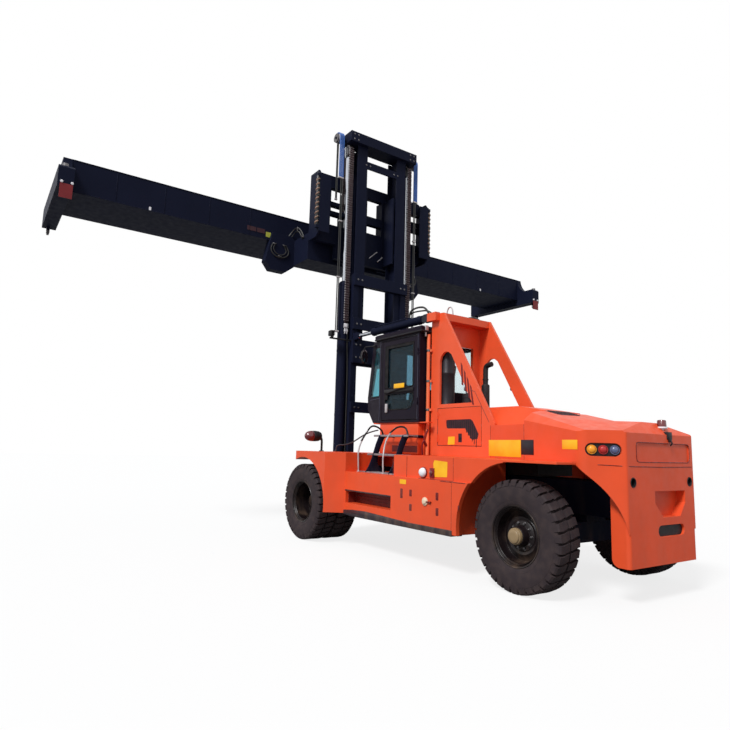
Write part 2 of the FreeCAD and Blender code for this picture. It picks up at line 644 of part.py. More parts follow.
def outer_mast():
    parts = []
    for _, sign in SIDES:
        parts.append(on_side(outer_channel(), sign))
        eye = join([rod(275, (0, 560, TYRE_R), (0, 680, TYRE_R)), box((0, 221), (560, 680), (480, 900))])
        eye = eye.cut(rod(192, (0, 550, TYRE_R), (0, 690, TYRE_R)))
        parts.append(on_side(eye, sign))
        for ear in (TILT_Y - 45, TILT_Y + 25):
            lug = join([box((TILT_FRONT_X, 221), (ear, ear + 20), (TILT_Z - 70, TILT_Z + 70)),
                        rod(70, (TILT_FRONT_X, ear, TILT_Z), (TILT_FRONT_X, ear + 20, TILT_Z))])
            parts.append(on_side(lug, sign))
        for z in (900, 4850):
            parts.append(on_side(box((345, 485), (680, 735), (z, z + 120)), sign))
    for z in ((4960, 5200), (4040, 4270), (3350, 3830), (2350, 2560), (1150, 1400)):
        parts.append(box((MAST_REAR, 221), (-680, 680), z))
    shape = join(parts)
    pins = []
    for _, sign in SIDES:
        shape = shape.cut(rod(LIFT_BARREL_R, (ROD_X, sign * ROD_Y, 300), (ROD_X, sign * ROD_Y, 5100)))
        shape = shape.cut(box((TILT_FRONT_X - 90, 219), (sign * (TILT_Y - 25), sign * (TILT_Y + 25)),
                              (TILT_Z - 110, TILT_Z + 110)))
        pins.append(rod(17, (TILT_FRONT_X, sign * (TILT_Y - 45), TILT_Z), (TILT_FRONT_X, sign * (TILT_Y + 45), TILT_Z)))
    add("outer_mast", join([shape] + pins))


def lift_cylinders():
    barrels = []
    rods = []
    for _, sign in SIDES:
        y = sign * ROD_Y
        barrel = rod(LIFT_BARREL_R, (ROD_X, y, 420), (ROD_X, y, 5000))
        barrels.append(barrel.cut(rod(ROD_R + 0.05, (ROD_X, y, 600), (ROD_X, y, 5010))))
        head = box((ROD_X - 40, ROD_X + 40), (y - 62, y + 62), (7780, 8060))
        head = head.cut(box((ROD_X - 140, ROD_X + 140), (y - 48, y + 48), (7800, 8060)))
        rods.append(join([rod(ROD_R, (ROD_X, y, 4500), (ROD_X, y, 7790)), head]))
    add("lift_cylinder_barrels", barrels)
    add("lift_rods", rods)


SHEAVE_Z = 7912.0
SHEAVE_R = 110.0
CHAIN_T = 30.0
LINK_PITCH = 300.0


def chain_strand(x, y, low, high):
    """One straight strand: thin pin plates with wider outer links at a steady pitch."""
    parts = [box((x, x + CHAIN_T), (y - 30, y + 30), (low, high))]
    z = low + 20
    while z + 200 < high:
        parts.append(box((x, x + CHAIN_T), (y - 44, y + 44), (z, z + 200)))
        z += LINK_PITCH
    return parts


def chains():
    wheels = []
    strands = []
    outer = SHEAVE_R + CHAIN_T
    for _, sign in SIDES:
        y = sign * ROD_Y
        wheels.append(rod(SHEAVE_R, (ROD_X, y - 42, SHEAVE_Z), (ROD_X, y + 42, SHEAVE_Z)))
        turns = [math.pi * index / 8 for index in range(9)]
        arc = [(ROD_X + outer * math.cos(turn), SHEAVE_Z + outer * math.sin(turn)) for turn in turns]
        arc += [(ROD_X + (SHEAVE_R + 3) * math.cos(turn), SHEAVE_Z + (SHEAVE_R + 3) * math.sin(turn))
                for turn in reversed(turns)]
        parts = [side_prism(arc, (y - 38, y + 38)), box((ROD_X - outer - 12, ROD_X - 110), (y - 45, y + 45), (4040, 4150))]
        parts += chain_strand(ROD_X - outer, y, 4150, SHEAVE_Z)
        parts += chain_strand(ROD_X + SHEAVE_R, y, 6600, SHEAVE_Z)
        strands.append(join(parts))
    add("chain_sheaves", wheels)
    add("lift_chains", strands)


INNER_FRONT = 600.0
HOSE_WHEEL = (460.0, 8160.0)


def inner_channel():
    return join([box((256, INNER_FRONT), (480, 505), (3300, 8060)),
                 box((256, 282), (395, 640), (3300, 8060)),
                 box((INNER_FRONT - 26, INNER_FRONT), (395, 640), (3300, 8060))])


def inner_mast():
    parts = []
    for _, sign in SIDES:
        parts.append(on_side(inner_channel(), sign))
        axle = rod(25, (HOSE_WHEEL[0], 860, HOSE_WHEEL[1]), (HOSE_WHEEL[0], 1100, HOSE_WHEEL[1]))
        parts.append(on_side(axle, sign))
    parts.append(box((MAST_REAR, 564), (-879, 879), (8060, MAST_TOP)))
    for z in ((7595, 7755), (4960, 5120), (3300, 3480)):
        parts.append(box((256, 290), (-481, 481), z))
    add("inner_mast", join(parts))


def mast_hoses():
    """Two hoses a side run up the mast, over a wheel and down to the carriage."""
    hoses = []
    wheels = []
    x, z = HOSE_WHEEL
    bend = 120.0
    radius = 24.0
    for _, sign in SIDES:
        for offset in (975.0, 1050.0):
            y = sign * offset
            rear = rod(radius, (x - bend, y, 3960), (x - bend, y, z))
            front = rod(radius, (x + bend, y, 6800), (x + bend, y, z))
            over = Part.makeTorus(bend, radius, Vector(x, y, z), Y_AXIS)
            over = over.common(box((0, 1000), (y - 50, y + 50), (z, z + 200)))
            hoses.append(join([rear, over, front]))
        wheel = rod(bend - radius - 1, (x, sign * 935, z), (x, sign * 1085, z))
        wheels.append(wheel.cut(rod(25.05, (x, sign * 900, z), (x, sign * 1110, z))))
    add("mast_hoses", hoses)
    add("mast_wheels", nodes.pop("chain_sheaves").Solids + wheels)


def mast_work_lamps():
    """A lamp on an arm that reaches out behind each lift cylinder."""
    lamp = join([box((222, 258), (680, 1180), (3780, 3810)), box((180, 360), (1090, 1180), (3809, 3955))])
    add("mast_work_lamps", both(lamp))


def tilt_cylinders():
    for side, sign in SIDES:
        y = TILT_Y
        eye = rod(65, (TILT_REAR_X, y - 22, TILT_Z), (TILT_REAR_X, y + 22, TILT_Z))
        neck = box((TILT_REAR_X, TILT_REAR_X + 100), (y - 22, y + 22), (TILT_Z - 50, TILT_Z + 50))
        hose = pipe(15, [(-1560, y, TILT_Z + 60), (-1600, y, 4078), (-2050, y, 4078), (-2098, y, TILT_Z + 96)], 60)
        barrel = join([eye, neck, rod(72, (TILT_REAR_X + 78, y, TILT_Z), (-450, y, TILT_Z)), hose])
        barrel = barrel.cut(rod(30.05, (TILT_REAR_X, y - 50, TILT_Z), (TILT_REAR_X, y + 50, TILT_Z)))
        barrel = barrel.cut(rod(38.05, (-1700, y, TILT_Z), (-440, y, TILT_Z)))
        tang = box((TILT_FRONT_X - 100, TILT_FRONT_X), (y - 22, y + 22), (TILT_Z - 36, TILT_Z + 36))
        stem = join([rod(38, (-1150, y, TILT_Z), (TILT_FRONT_X - 78, y, TILT_Z)), tang,
                     rod(62, (TILT_FRONT_X, y - 22, TILT_Z), (TILT_FRONT_X, y + 22, TILT_Z))])
        stem = stem.cut(rod(30, (TILT_FRONT_X, y - 30, TILT_Z), (TILT_FRONT_X, y + 30, TILT_Z)))
        add("tilt_barrel_" + side, on_side(barrel, sign))
        add("tilt_rod_" + side, on_side(stem, sign))


# Carriage and spreader
CARRIAGE_X = (660.0, 780.0)
CHEEK_Y = (1200.0, 1450.0)
HANGER = [(2090, 5525), (1953, 5350), (1607, 5350), (1414, 5500), (1414, 6100), (1500, 6170), (1960, 6170)]


def carriage_windows():
    """Openings of the carriage plate, as (y limits, z limits) on the left half."""
    return [((700, 1030), (6829, 7130)), ((700, 1030), (6623, 6743)), ((680, 750), (6310, 6537)),
            ((790, 1040), (6310, 6537)), ((1140, 1410), (6920, 7100)), ((1140, 1410), (6370, 6690))]


def carriage():
    outline = [(0, 7400), (1355, 7400), (1450, 7330), (1450, 6020), (1330, 5900), (880, 5900), (880, 5600), (0, 5600)]
    half = front_prism(outline, CARRIAGE_X)
    for y, z in carriage_windows():
        half = half.cut(box((CARRIAGE_X[0] - 5, CARRIAGE_X[1] + 5), y, z))
    side = [box((300, 661), (340, 380), (5650, 7150)),
            box((524, 661), (735, 835), (6484, 6594)),
            side_prism([(400, 6000), (400, 7230), (480, 7340), (820, 7340), (820, 5900), (520, 5900)],
                       (CHEEK_Y[1] - 30, CHEEK_Y[1])),
            box((400, 430), CHEEK_Y, (6000, 7230)),
            box((400, 460), (CHEEK_Y[1], CHEEK_Y[1] + 62), (6060, 6120)),
            box((400, 460), (CHEEK_Y[1] - 5, CHEEK_Y[1] + 62), (7170, 7230))]
    side += [rod(125, (428, 380, z), (428, 474, z)) for z in (5790, 7010)]
    left = join([half] + side)
    shape = join([left, mirrored(left)])
    for z in ((6740, 7148), (6350, 6554)):
        shape = shape.cut(box((CARRIAGE_X[0] - 5, CARRIAGE_X[1] + 5), (-300, 300), z))
    add("carriage", shape)
    add("carriage_cable", rod(29, (430, CHEEK_Y[1] + 30, 6120), (430, CHEEK_Y[1] + 30, 7170)))


END_X = (1010.0, 3450.0)
END_Z = (5850.0, 6230.0)
END_Y = (5850.0, 6100.0)
GUSSET = 230.0


def gusset(x, side):
    """A plate edge that curves down from the beam's top to the end beam, ahead of or behind the beam."""
    top = Vector(x, 5850, BEAM_Z[1])
    low = Vector(x + side * GUSSET, 5850, END_Z[1])
    middle = Vector(x + side * 0.34 * GUSSET, 5850, END_Z[1] + 0.40 * (BEAM_Z[1] - END_Z[1]))
    corner = Vector(x, 5850, END_Z[1])
    edges = [Part.Arc(top, middle, low).toShape(), Part.LineSegment(low, corner).toShape(),
             Part.LineSegment(corner, top).toShape()]
    return Part.Face(Part.Wire(edges)).extrude(Vector(0, 150, 0))


def end_beam():
    low_nose = [(END_X[0], END_Z[0]), (END_X[0], END_Z[1] - 40), (END_X[0] + 40, END_Z[1]), (END_X[1] - 40, END_Z[1]),
                (END_X[1], END_Z[1] - 40), (END_X[1], END_Z[0])]
    parts = [side_prism(low_nose, END_Y), box(BEAM_X, (5850, 6000), (END_Z[1], BEAM_Z[1])),
             gusset(BEAM_X[0], -1), gusset(BEAM_X[1], 1)]
    for x in TWISTLOCK_X:
        parts.append(box((x - 52, x + 52), (TWISTLOCK_Y - 29, TWISTLOCK_Y + 29), (5790, END_Z[0])))
    shape = join(parts)
    for x in TWISTLOCK_X:
        shape = shape.cut(rod(24, (x, TWISTLOCK_Y, 5780), (x, TWISTLOCK_Y, 6310)))
    return shape


def spreader():
    wall = 30
    beam = box(BEAM_X, (-5850, 5850), BEAM_Z)
    beam = beam.cut(box((BEAM_X[0] + wall, BEAM_X[1] - wall), (-5800, 5800), (BEAM_Z[0] + wall, BEAM_Z[1] - wall)))
    add("spreader_beam", beam)
    tube = box((880, BEAM_X[0]), (-1420, 1420), (5530, 6100))
    tube = tube.cut(box((910, BEAM_X[0] - 30), (-1390, 1390), (5560, 6070)))
    parts = [tube]
    for _, sign in SIDES:
        hanger = front_prism([(sign * py, pz) for py, pz in HANGER], (1500, 1700))
        parts.append(hanger.cut(box((BEAM_X[0], 1800), (sign * 1000, sign * 2200), (BEAM_Z[0], 6300))))
        parts.append(box((788, 881), (sign * 300, sign * 660), (5570, 7150)))
    add("spreader_frame", join(parts))
    add("end_beams", both(end_beam()))
    add("end_reflectors", both(box((END_X[0] - 12, END_X[0]), (5860, 6060), (5650, 5900))))


def twistlocks():
    corners = [("rear_left", TWISTLOCK_X[0], 1), ("rear_right", TWISTLOCK_X[0], -1),
               ("front_left", TWISTLOCK_X[1], 1), ("front_right", TWISTLOCK_X[1], -1)]
    for name, x, sign in corners:
        y = sign * TWISTLOCK_Y
        head = box((x - 50, x + 50), (y - 28, y + 28), (5735, 5770))
        tip = box((x - 30, x + 30), (y - 20, y + 20), (5700, 5735))
        pin = rod(23.95, (x, y, 5770), (x, y, 6280))
        nut = rod(50, (x, y, 6232), (x, y, 6280))
        add("twistlock_" + name, join([head, tip, pin, nut]))


def place_and_write():
    os.makedirs("parts", exist_ok=True)
    for name, shape in nodes.items():
        shape.translate(Vector(ORIGIN_X, 0, 0))
        shape.exportStep("parts/" + name + ".step")
        print(name, len(shape.Solids), shape.isValid(), round(shape.Volume / 1e9, 4))


for side, sign in SIDES:
    drive_wheel(side, sign)
    steer_wheel(side, sign)
    steer_knuckle(side, sign)
steer_axle()
drive_axle()
chassis()
side_boxes()
fenders()
fender_lamps()
deck()
cab_steps()
hood()
engine()
counterweight()
rear_lamps()
beacon()
gantry()
gantry_pipe()
service_doors()
air_cleaner()
exhaust_stack()
cab()
cab_door()
mirror_arm()
cab_inside()
outer_mast()
lift_cylinders()
chains()
inner_mast()
mast_hoses()
mast_work_lamps()
tilt_cylinders()
carriage()
spreader()
twistlocks()
place_and_write()
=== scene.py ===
"""Looks of a container forklift: finishes for the CAD nodes and detailed pieces that ride with them.

Lengths are metres. Places are written from the drive axle, as on the part's own drawing, and AXLE moves
them into the row frame: +X forward, +Y the truck's left, +Z up, wheels standing on Z = 0.
"""

import logging
import math
from dataclasses import dataclass, field
from enum import Enum

import bmesh
import bpy
from mathutils import Matrix, Vector


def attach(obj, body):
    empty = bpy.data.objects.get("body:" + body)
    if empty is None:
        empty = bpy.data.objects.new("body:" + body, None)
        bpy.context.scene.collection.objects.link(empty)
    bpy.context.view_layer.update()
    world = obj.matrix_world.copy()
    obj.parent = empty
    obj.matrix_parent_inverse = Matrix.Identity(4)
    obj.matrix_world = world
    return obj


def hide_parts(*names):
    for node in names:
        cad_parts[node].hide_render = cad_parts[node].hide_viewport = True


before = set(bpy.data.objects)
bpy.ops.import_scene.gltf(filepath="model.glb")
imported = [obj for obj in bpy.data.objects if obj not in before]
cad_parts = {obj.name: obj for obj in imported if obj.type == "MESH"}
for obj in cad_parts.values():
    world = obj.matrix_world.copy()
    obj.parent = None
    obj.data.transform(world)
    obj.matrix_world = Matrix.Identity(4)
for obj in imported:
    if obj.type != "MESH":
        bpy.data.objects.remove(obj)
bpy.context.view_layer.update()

AXLE = 1.115
WHEELBASE = 4.6
TYRE_R = 0.670
DRIVE_Y = (1.1925, 1.6045)
STEER_Y = 1.1945
FLARE_FRONT = (-3.180, 0.557)
SHOULDER = (-5.330, 1.080)
TAIL = (-5.680, 0.730)
SKIN = 0.003
SIDES = (("left", 1), ("right", -1))
AHEAD = Vector((1.0, 0.0, 0.0))
REAR = Vector((-1.0, 0.0, 0.0))
LEFT = Vector((0.0, 1.0, 0.0))
UP = Vector((0.0, 0.0, 1.0))

Point = tuple[float, float, float]
Pair = tuple[float, float]
log = logging.getLogger("forklift")


class Axis(Enum):
    """The axis that a flat outline is pulled along."""

    X = 0
    Y = 1
    Z = 2


def at(x: float, y: float, z: float) -> Vector:
    """A place given from the drive axle, in the row frame."""
    return Vector((x + AXLE, y, z))


def srgb(red: int, green: int, blue: int) -> tuple[float, float, float, float]:
    """A colour given in screen values, as linear light."""
    return tuple(((value / 255 + 0.055) / 1.055) ** 2.4 if value > 10 else value / 3294.6
                 for value in (red, green, blue)) + (1.0,)


def grey(value: float) -> tuple[float, float, float, float]:
    """A neutral colour of that brightness."""
    return (value, value, value, 1.0)


def rounded(outline: list[Pair], radius: float, steps: int = 5) -> list[Pair]:
    """An outline with its corners rounded.

    Args:
        outline: the corners in order.
        radius: how far from a corner the rounding starts, at most.
        steps: points in each rounding.

    Returns:
        The rounded outline.
    """
    corners = [Vector(corner) for corner in outline]
    points = []
    for index, corner in enumerate(corners):
        before, after = corners[index - 1] - corner, corners[(index + 1) % len(corners)] - corner
        reach = min(radius, 0.45 * before.length, 0.45 * after.length)
        start, end = corner + before.normalized() * reach, corner + after.normalized() * reach
        for step in range(steps + 1):
            share = step / steps
            points.append(tuple(start.lerp(corner, share).lerp(corner.lerp(end, share), share)))
    return points


# Finishes
class Graph:
    """A material under construction, with short names for the nodes that the finishes share."""

    def __init__(self, name: str, tree: bpy.types.NodeTree | None = None) -> None:
        """Starts an empty material of that name, or clears the world's own tree.

        Args:
            name: the material's name.
            tree: the world's tree, if that is to be drawn instead.
        """
        self.material = None if tree else bpy.data.materials.new(name)
        if self.material:
            self.material.use_nodes = True
        self.tree = tree or self.material.node_tree
        self.tree.nodes.clear()
        self.output = self.tree.nodes.new("ShaderNodeOutputWorld" if tree else "ShaderNodeOutputMaterial")
        self.coords = self.tree.nodes.new("ShaderNodeTexCoord").outputs["Object"]

    def seen(self, *names: str) -> bpy.types.NodeSocket:
        """Tells apart the kinds of ray.

        Args:
            names: kinds of ray, such as Camera.

        Returns:
            A socket that is 1 for rays of those kinds and 0 for the rest.
        """
        path = self.node("ShaderNodeLightPath", {})
        found = path.outputs["Is " + names[0] + " Ray"]
        for name in names[1:]:
            other = path.outputs["Is " + name + " Ray"]
            found = self.node("ShaderNodeMath", {0: found, 1: other}, operation="MAXIMUM").outputs[0]
        return found

    def node(self, kind: str, inputs: dict, **settings: object) -> bpy.types.Node:
        """Adds a node.

        Args:
            kind: the node's type name.
            inputs: values or sockets for its inputs, by name or number.
            settings: attributes of the node.

        Returns:
            The new node.
        """
        made = self.tree.nodes.new(kind)
        for key, value in settings.items():
            setattr(made, key, value)
        for key, value in inputs.items():
            if isinstance(value, bpy.types.NodeSocket):
                self.tree.links.new(value, made.inputs[key])
            else:
                made.inputs[key].default_value = value
        return made

    def noise(self, scale: float, detail: float = 4.0, stretch: Point = (1.0, 1.0,
            1.0)) -> bpy.types.NodeSocket:
        """Makes cloudy noise on object coordinates.

        Args:
            scale: how fine the clouds are.
            detail: how many finer layers they have.
            stretch: a factor on each axis.

        Returns:
            The noise, about 0 to 1.
        """
        place = self.node("ShaderNodeMapping", {"Vector": self.coords, "Scale": stretch})
        made = self.node("ShaderNodeTexNoise", {"Vector": place.outputs[0], "Scale": scale, "Detail": detail})
        return made.outputs["Fac"]

    def remap(self, value: bpy.types.NodeSocket, source: Pair, target: Pair) -> bpy.types.NodeSocket:
        """Carries a value from one range to another.

        Args:
            value: the value to carry over.
            source: its range.
            target: the new range.

        Returns:
            The value in the new range, clamped to it.
        """
        made = self.node("ShaderNodeMapRange", {"Value": value, "From Min": source[0],
                                                "From Max": source[1], "To Min": target[0],
                                                "To Max": target[1]})
        return made.outputs["Result"]

    def blend(self, share: object, first: object, second: object) -> bpy.types.NodeSocket:
        """Two colours mixed by a share of the second."""
        made = self.node("ShaderNodeMix", {0: share, 6: first, 7: second}, data_type="RGBA")
        return made.outputs[2]

    def product(self, first: object, second: object) -> bpy.types.NodeSocket:
        """Two values multiplied."""
        return self.node("ShaderNodeMath", {0: first, 1: second}, operation="MULTIPLY").outputs[0]

    def height(self) -> bpy.types.NodeSocket:
        """The height above the ground."""
        return self.node("ShaderNodeSeparateXYZ", {"Vector": self.coords}).outputs["Z"]

    def rounded_edges(self, radius: float) -> tuple[bpy.types.NodeSocket, bpy.types.NodeSocket]:
        """Soft edges in the shading.

        Args:
            radius: how far in from an edge the shading turns, in metres.

        Returns:
            The softened normal, and a mask that is 1 on edges and 0 on flats.
        """
        soft = self.node("ShaderNodeBevel", {"Radius": radius}, samples=4).outputs[0]
        sharp = self.node("ShaderNodeNewGeometry", {}).outputs["Normal"]
        dot = self.node("ShaderNodeVectorMath", {0: soft, 1: sharp}, operation="DOT_PRODUCT").outputs["Value"]
        return soft, self.remap(dot, (0.995, 0.90), (0.0, 1.0))

    def bump(self, height: bpy.types.NodeSocket, strength: float, distance: float,
             normal: bpy.types.NodeSocket | None = None) -> bpy.types.NodeSocket:
        """Makes a relief from a height.

        Args:
            height: the relief to draw.
            strength: how strongly it shows, up to 1.
            distance: its depth in metres.
            normal: an earlier normal to lay it over, if any.

        Returns:
            The new normal.
        """
        inputs = {"Height": height, "Strength": strength, "Distance": distance}
        if normal is not None:
            inputs["Normal"] = normal
        return self.node("ShaderNodeBump", inputs).outputs[0]

    def close(self, **inputs: object) -> bpy.types.Material:
        """Ends the material with one principled shader.

        Args:
            inputs: the shader's inputs, with underscores for the spaces in their names.

        Returns:
            The finished material.
        """
        named = {key.replace("_", " "): value for key, value in inputs.items()}
        shader = self.node("ShaderNodeBsdfPrincipled", named)
        self.tree.links.new(shader.outputs[0], self.output.inputs["Surface"])
        return self.material


@dataclass(frozen=True)
class Finish:
    """A finish that is made once and shared by every piece that asks for it."""

    name: str
    slot: str
    colour: tuple[float, float, float, float]
    roughness: float = 0.4

    def graph(self) -> Graph:
        """A new empty material of this finish's name."""
        return Graph(self.name)

    def make(self) -> bpy.types.Material:
        """Builds the material; each kind of finish says how."""
        raise NotImplementedError

    def material(self) -> bpy.types.Material:
        """The shared material, built the first time it is asked for."""
        return bpy.data.materials.get(self.name) or self.make()


@dataclass(frozen=True)
class Paint(Finish):
    """Sprayed enamel: faint mottling, road dust low down, rubbed edges (painted edge highlights on the cab)
    and a clear top coat.
    """

    dust: float = 0.25
    wear_and_edge_highlight: float = 0.35
    worn_and_edge_highlight: tuple[float, float, float, float] = (0.55, 0.50, 0.46, 1.0)
    gloss: float = 0.0
    sheen: float = 0.35
    edge: float = 0.006

    def make(self) -> bpy.types.Material:
        """Builds the painted surface.

        Returns:
            The finished material.
        """
        graph = self.graph()
        soft, rims = graph.rounded_edges(self.edge)
        mottled = graph.remap(graph.noise(1.7, 5.0), (0.3, 0.7), (0.0, 1.0))
        darker = tuple(value * 0.86 for value in self.colour[:3]) + (1.0,)
        colour = graph.blend(mottled, darker, self.colour)
        low = graph.remap(graph.height(), (1.9, 0.4), (0.0, 1.0))
        patches = graph.remap(graph.noise(5.0, 8.0, (1.0, 1.0, 0.35)), (0.46, 0.72), (0.0, self.dust))
        colour = graph.blend(graph.product(low, patches), colour, srgb(120, 98, 82))
        # Lighter colour on rounded edges: rubbed paint on most finishes, painted edge highlight on the cab's
        # paint.
        chips_and_edge_highlight = graph.remap(graph.noise(38.0, 6.0), (0.5, 0.62), (0.0, self.wear_and_edge_highlight))
        colour = graph.blend(graph.product(rims, chips_and_edge_highlight), colour, self.worn_and_edge_highlight)
        rough = graph.remap(graph.noise(9.0, 6.0), (0.3, 0.7), (self.roughness - 0.07, self.roughness + 0.09))
        normal = graph.bump(graph.noise(260.0, 2.0), 0.05, 0.0006, soft)
        return graph.close(Base_Color=self.second(graph, colour), Roughness=rough, Normal=normal,
                           Coat_Weight=self.gloss, Coat_Roughness=0.14, Specular_IOR_Level=self.sheen)

    def second(self, graph: Graph, colour: bpy.types.NodeSocket) -> bpy.types.NodeSocket:
        """The colour with any further paint laid over it; plain paint has none."""
        return colour


@dataclass(frozen=True)
class TwoTone(Paint):
    """Enamel with a second colour ahead of, outboard of and above three bounds of the row frame."""

    other: tuple[float, float, float, float] = (0.01, 0.01, 0.01, 1.0)
    bounds: Point = (-0.975, 0.56, 3.79)

    def second(self, graph: Graph, colour: bpy.types.NodeSocket) -> bpy.types.NodeSocket:
        """Lays the second colour over the first where the bounds say.

        Args:
            graph: the material under construction.
            colour: the first colour.

        Returns:
            The colour with the second one laid over it.
        """
        place = graph.node("ShaderNodeSeparateXYZ", {"Vector": graph.coords})
        wide = graph.node("ShaderNodeMath", {0: place.outputs["Y"]}, operation="ABSOLUTE")
        share = 1.0
        for side, bound in zip((place.outputs["X"], wide.outputs[0], place.outputs["Z"]), self.bounds):
            past = graph.node("ShaderNodeMath", {0: side, 1: bound}, operation="GREATER_THAN").outputs[0]
            share = graph.product(share, past)
        return graph.blend(share, colour, self.other)


@dataclass(frozen=True)
class Metal(Finish):
    """Bare or plated metal with fine lines along one axis and light grime."""

    grain: Point = (1.0, 1.0, 1.0)
    grime: float = 0.3
    metallic: float = 1.0
    relief: float = 0.10

    def make(self) -> bpy.types.Material:
        """Builds the metal surface.

        Returns:
            The finished material.
        """
        graph = self.graph()
        soft, _ = graph.rounded_edges(0.003)
        lines = graph.noise(60.0, 6.0, self.grain)
        stains = graph.remap(graph.noise(7.0, 6.0), (0.42, 0.75), (0.0, self.grime))
        colour = graph.blend(stains, self.colour, srgb(62, 52, 46))
        rough = graph.remap(lines, (0.25, 0.75), (self.roughness * 0.7, self.roughness * 1.35))
        normal = graph.bump(lines, self.relief, 0.0005, soft)
        return graph.close(Base_Color=colour, Roughness=rough, Normal=normal, Metallic=self.metallic,
                           Specular_IOR_Level=0.3)


@dataclass(frozen=True)
class Rubber(Finish):
    """Tyre or hose rubber: matt, dusty in patches, with fine mould texture."""

    dust: tuple[float, float, float, float] = (0.16, 0.12, 0.10, 1.0)
    dusting: float = 0.35

    def make(self) -> bpy.types.Material:
        """Builds the rubber surface.

        Returns:
            The finished material.
        """
        graph = self.graph()
        patches = graph.remap(graph.noise(11.0, 8.0), (0.42, 0.72), (0.0, self.dusting))
        colour = graph.blend(patches, self.colour, self.dust)
        rough = graph.remap(graph.noise(22.0, 4.0), (0.3, 0.7),
                            (self.roughness - 0.08, self.roughness + 0.08))
        normal = graph.bump(graph.noise(340.0, 3.0), 0.2, 0.0008)
        return graph.close(Base_Color=colour, Roughness=rough, Normal=normal, Specular_IOR_Level=0.2)


@dataclass(frozen=True)
class Moulding(Finish):
    """Moulded plastic with a fine pebbled skin."""

    pebble: float = 0.15

    def make(self) -> bpy.types.Material:
        """Builds the plastic surface.

        Returns:
            The finished material.
        """
        graph = self.graph()
        shade = graph.remap(graph.noise(6.0, 5.0), (0.3, 0.7), (0.0, 1.0))
        lighter = tuple(min(1.0, value * 1.25 + 0.004) for value in self.colour[:3]) + (1.0,)
        colour = graph.blend(shade, self.colour, lighter)
        rough = graph.remap(graph.noise(15.0, 4.0), (0.3, 0.7),
                            (self.roughness - 0.05, self.roughness + 0.08))
        normal = graph.bump(graph.noise(420.0, 2.0), self.pebble, 0.0005)
        return graph.close(Base_Color=colour, Roughness=rough, Normal=normal, Specular_IOR_Level=0.3)


@dataclass(frozen=True)
class Lens(Finish):
    """A coloured lamp lens with fine ribs behind a clear skin."""

    glow: float = 0.25

    def make(self) -> bpy.types.Material:
        """Builds the lens.

        Returns:
            The finished material.
        """
        graph = self.graph()
        ribs = graph.node("ShaderNodeTexWave", {"Vector": graph.coords, "Scale": 55.0, "Distortion": 0.3},
                          bands_direction="Z").outputs["Fac"]
        deep = tuple(value * 0.55 for value in self.colour[:3]) + (1.0,)
        colour = graph.blend(graph.remap(ribs, (0.0, 1.0), (0.0, 0.8)), deep, self.colour)
        normal = graph.bump(ribs, 0.25, 0.001)
        return graph.close(Base_Color=colour, Roughness=self.roughness, Normal=normal, Coat_Weight=1.0,
                           Coat_Roughness=0.03, Emission_Color=self.colour, Emission_Strength=self.glow)


@dataclass(frozen=True)
class Pane(Finish):
    """Tinted cab glass with faint smears."""

    def make(self) -> bpy.types.Material:
        """Builds the glass.

        Returns:
            The finished material.
        """
        graph = self.graph()
        smears = graph.remap(graph.noise(3.5, 6.0, (1.0, 1.0, 0.4)), (0.55, 0.80), (0.0, 0.05))
        return graph.close(Base_Color=self.colour, Roughness=smears, Transmission_Weight=0.96, IOR=1.20,
                           Specular_IOR_Level=0.3)


@dataclass(frozen=True)
class Cloth(Finish):
    """Seat cloth with a fine crossed weave."""

    def make(self) -> bpy.types.Material:
        """Builds the cloth.

        Returns:
            The finished material.
        """
        graph = self.graph()
        threads = [graph.node("ShaderNodeTexWave", {"Vector": graph.coords, "Scale": 170.0,
                                                    "Distortion": 0.6}, bands_direction=way).outputs["Fac"]
                   for way in ("Y", "DIAGONAL")]
        weave = graph.product(threads[0], threads[1])
        light = tuple(value * 1.7 for value in self.colour[:3]) + (1.0,)
        colour = graph.blend(weave, self.colour, light)
        normal = graph.bump(weave, 0.35, 0.0012)
        return graph.close(Base_Color=colour, Roughness=self.roughness, Normal=normal, Sheen_Weight=0.3)


ORANGE = Paint("orange_enamel", "orange_paint", srgb(236, 84, 42), 0.42, dust=0.10, worn_and_edge_highlight=srgb(255, 160, 120))
# A lighter copy of the orange paint, for the gantry pipe: painted highlight.
ORANGE_LIT_COPY = Paint("orange_lit_copy_enamel", "orange_paint", srgb(248, 122, 78), 0.40, dust=0.10, wear_and_edge_highlight=0.2)
GANTRY_ORANGE = TwoTone("gantry_enamel", "orange_paint", srgb(238, 92, 52), 0.36, dust=0.10,
                        worn_and_edge_highlight=srgb(255, 160, 120), other=srgb(20, 22, 36))
NAVY = Paint("navy_enamel", "dark_paint", srgb(23, 27, 46), 0.50, dust=0.20, wear_and_edge_highlight=0.6,
             worn_and_edge_highlight=srgb(84, 84, 100), sheen=0.05)
# Cab paint: its lighter colour on rounded edges is painted highlight, thin light lines along the frame's
# edges.
CAB_BLACK = Paint("cab_enamel", "cab_paint", srgb(27, 20, 33), 0.36, dust=0.05, wear_and_edge_highlight=0.9,
                  worn_and_edge_highlight=srgb(92, 92, 112), sheen=0.08)
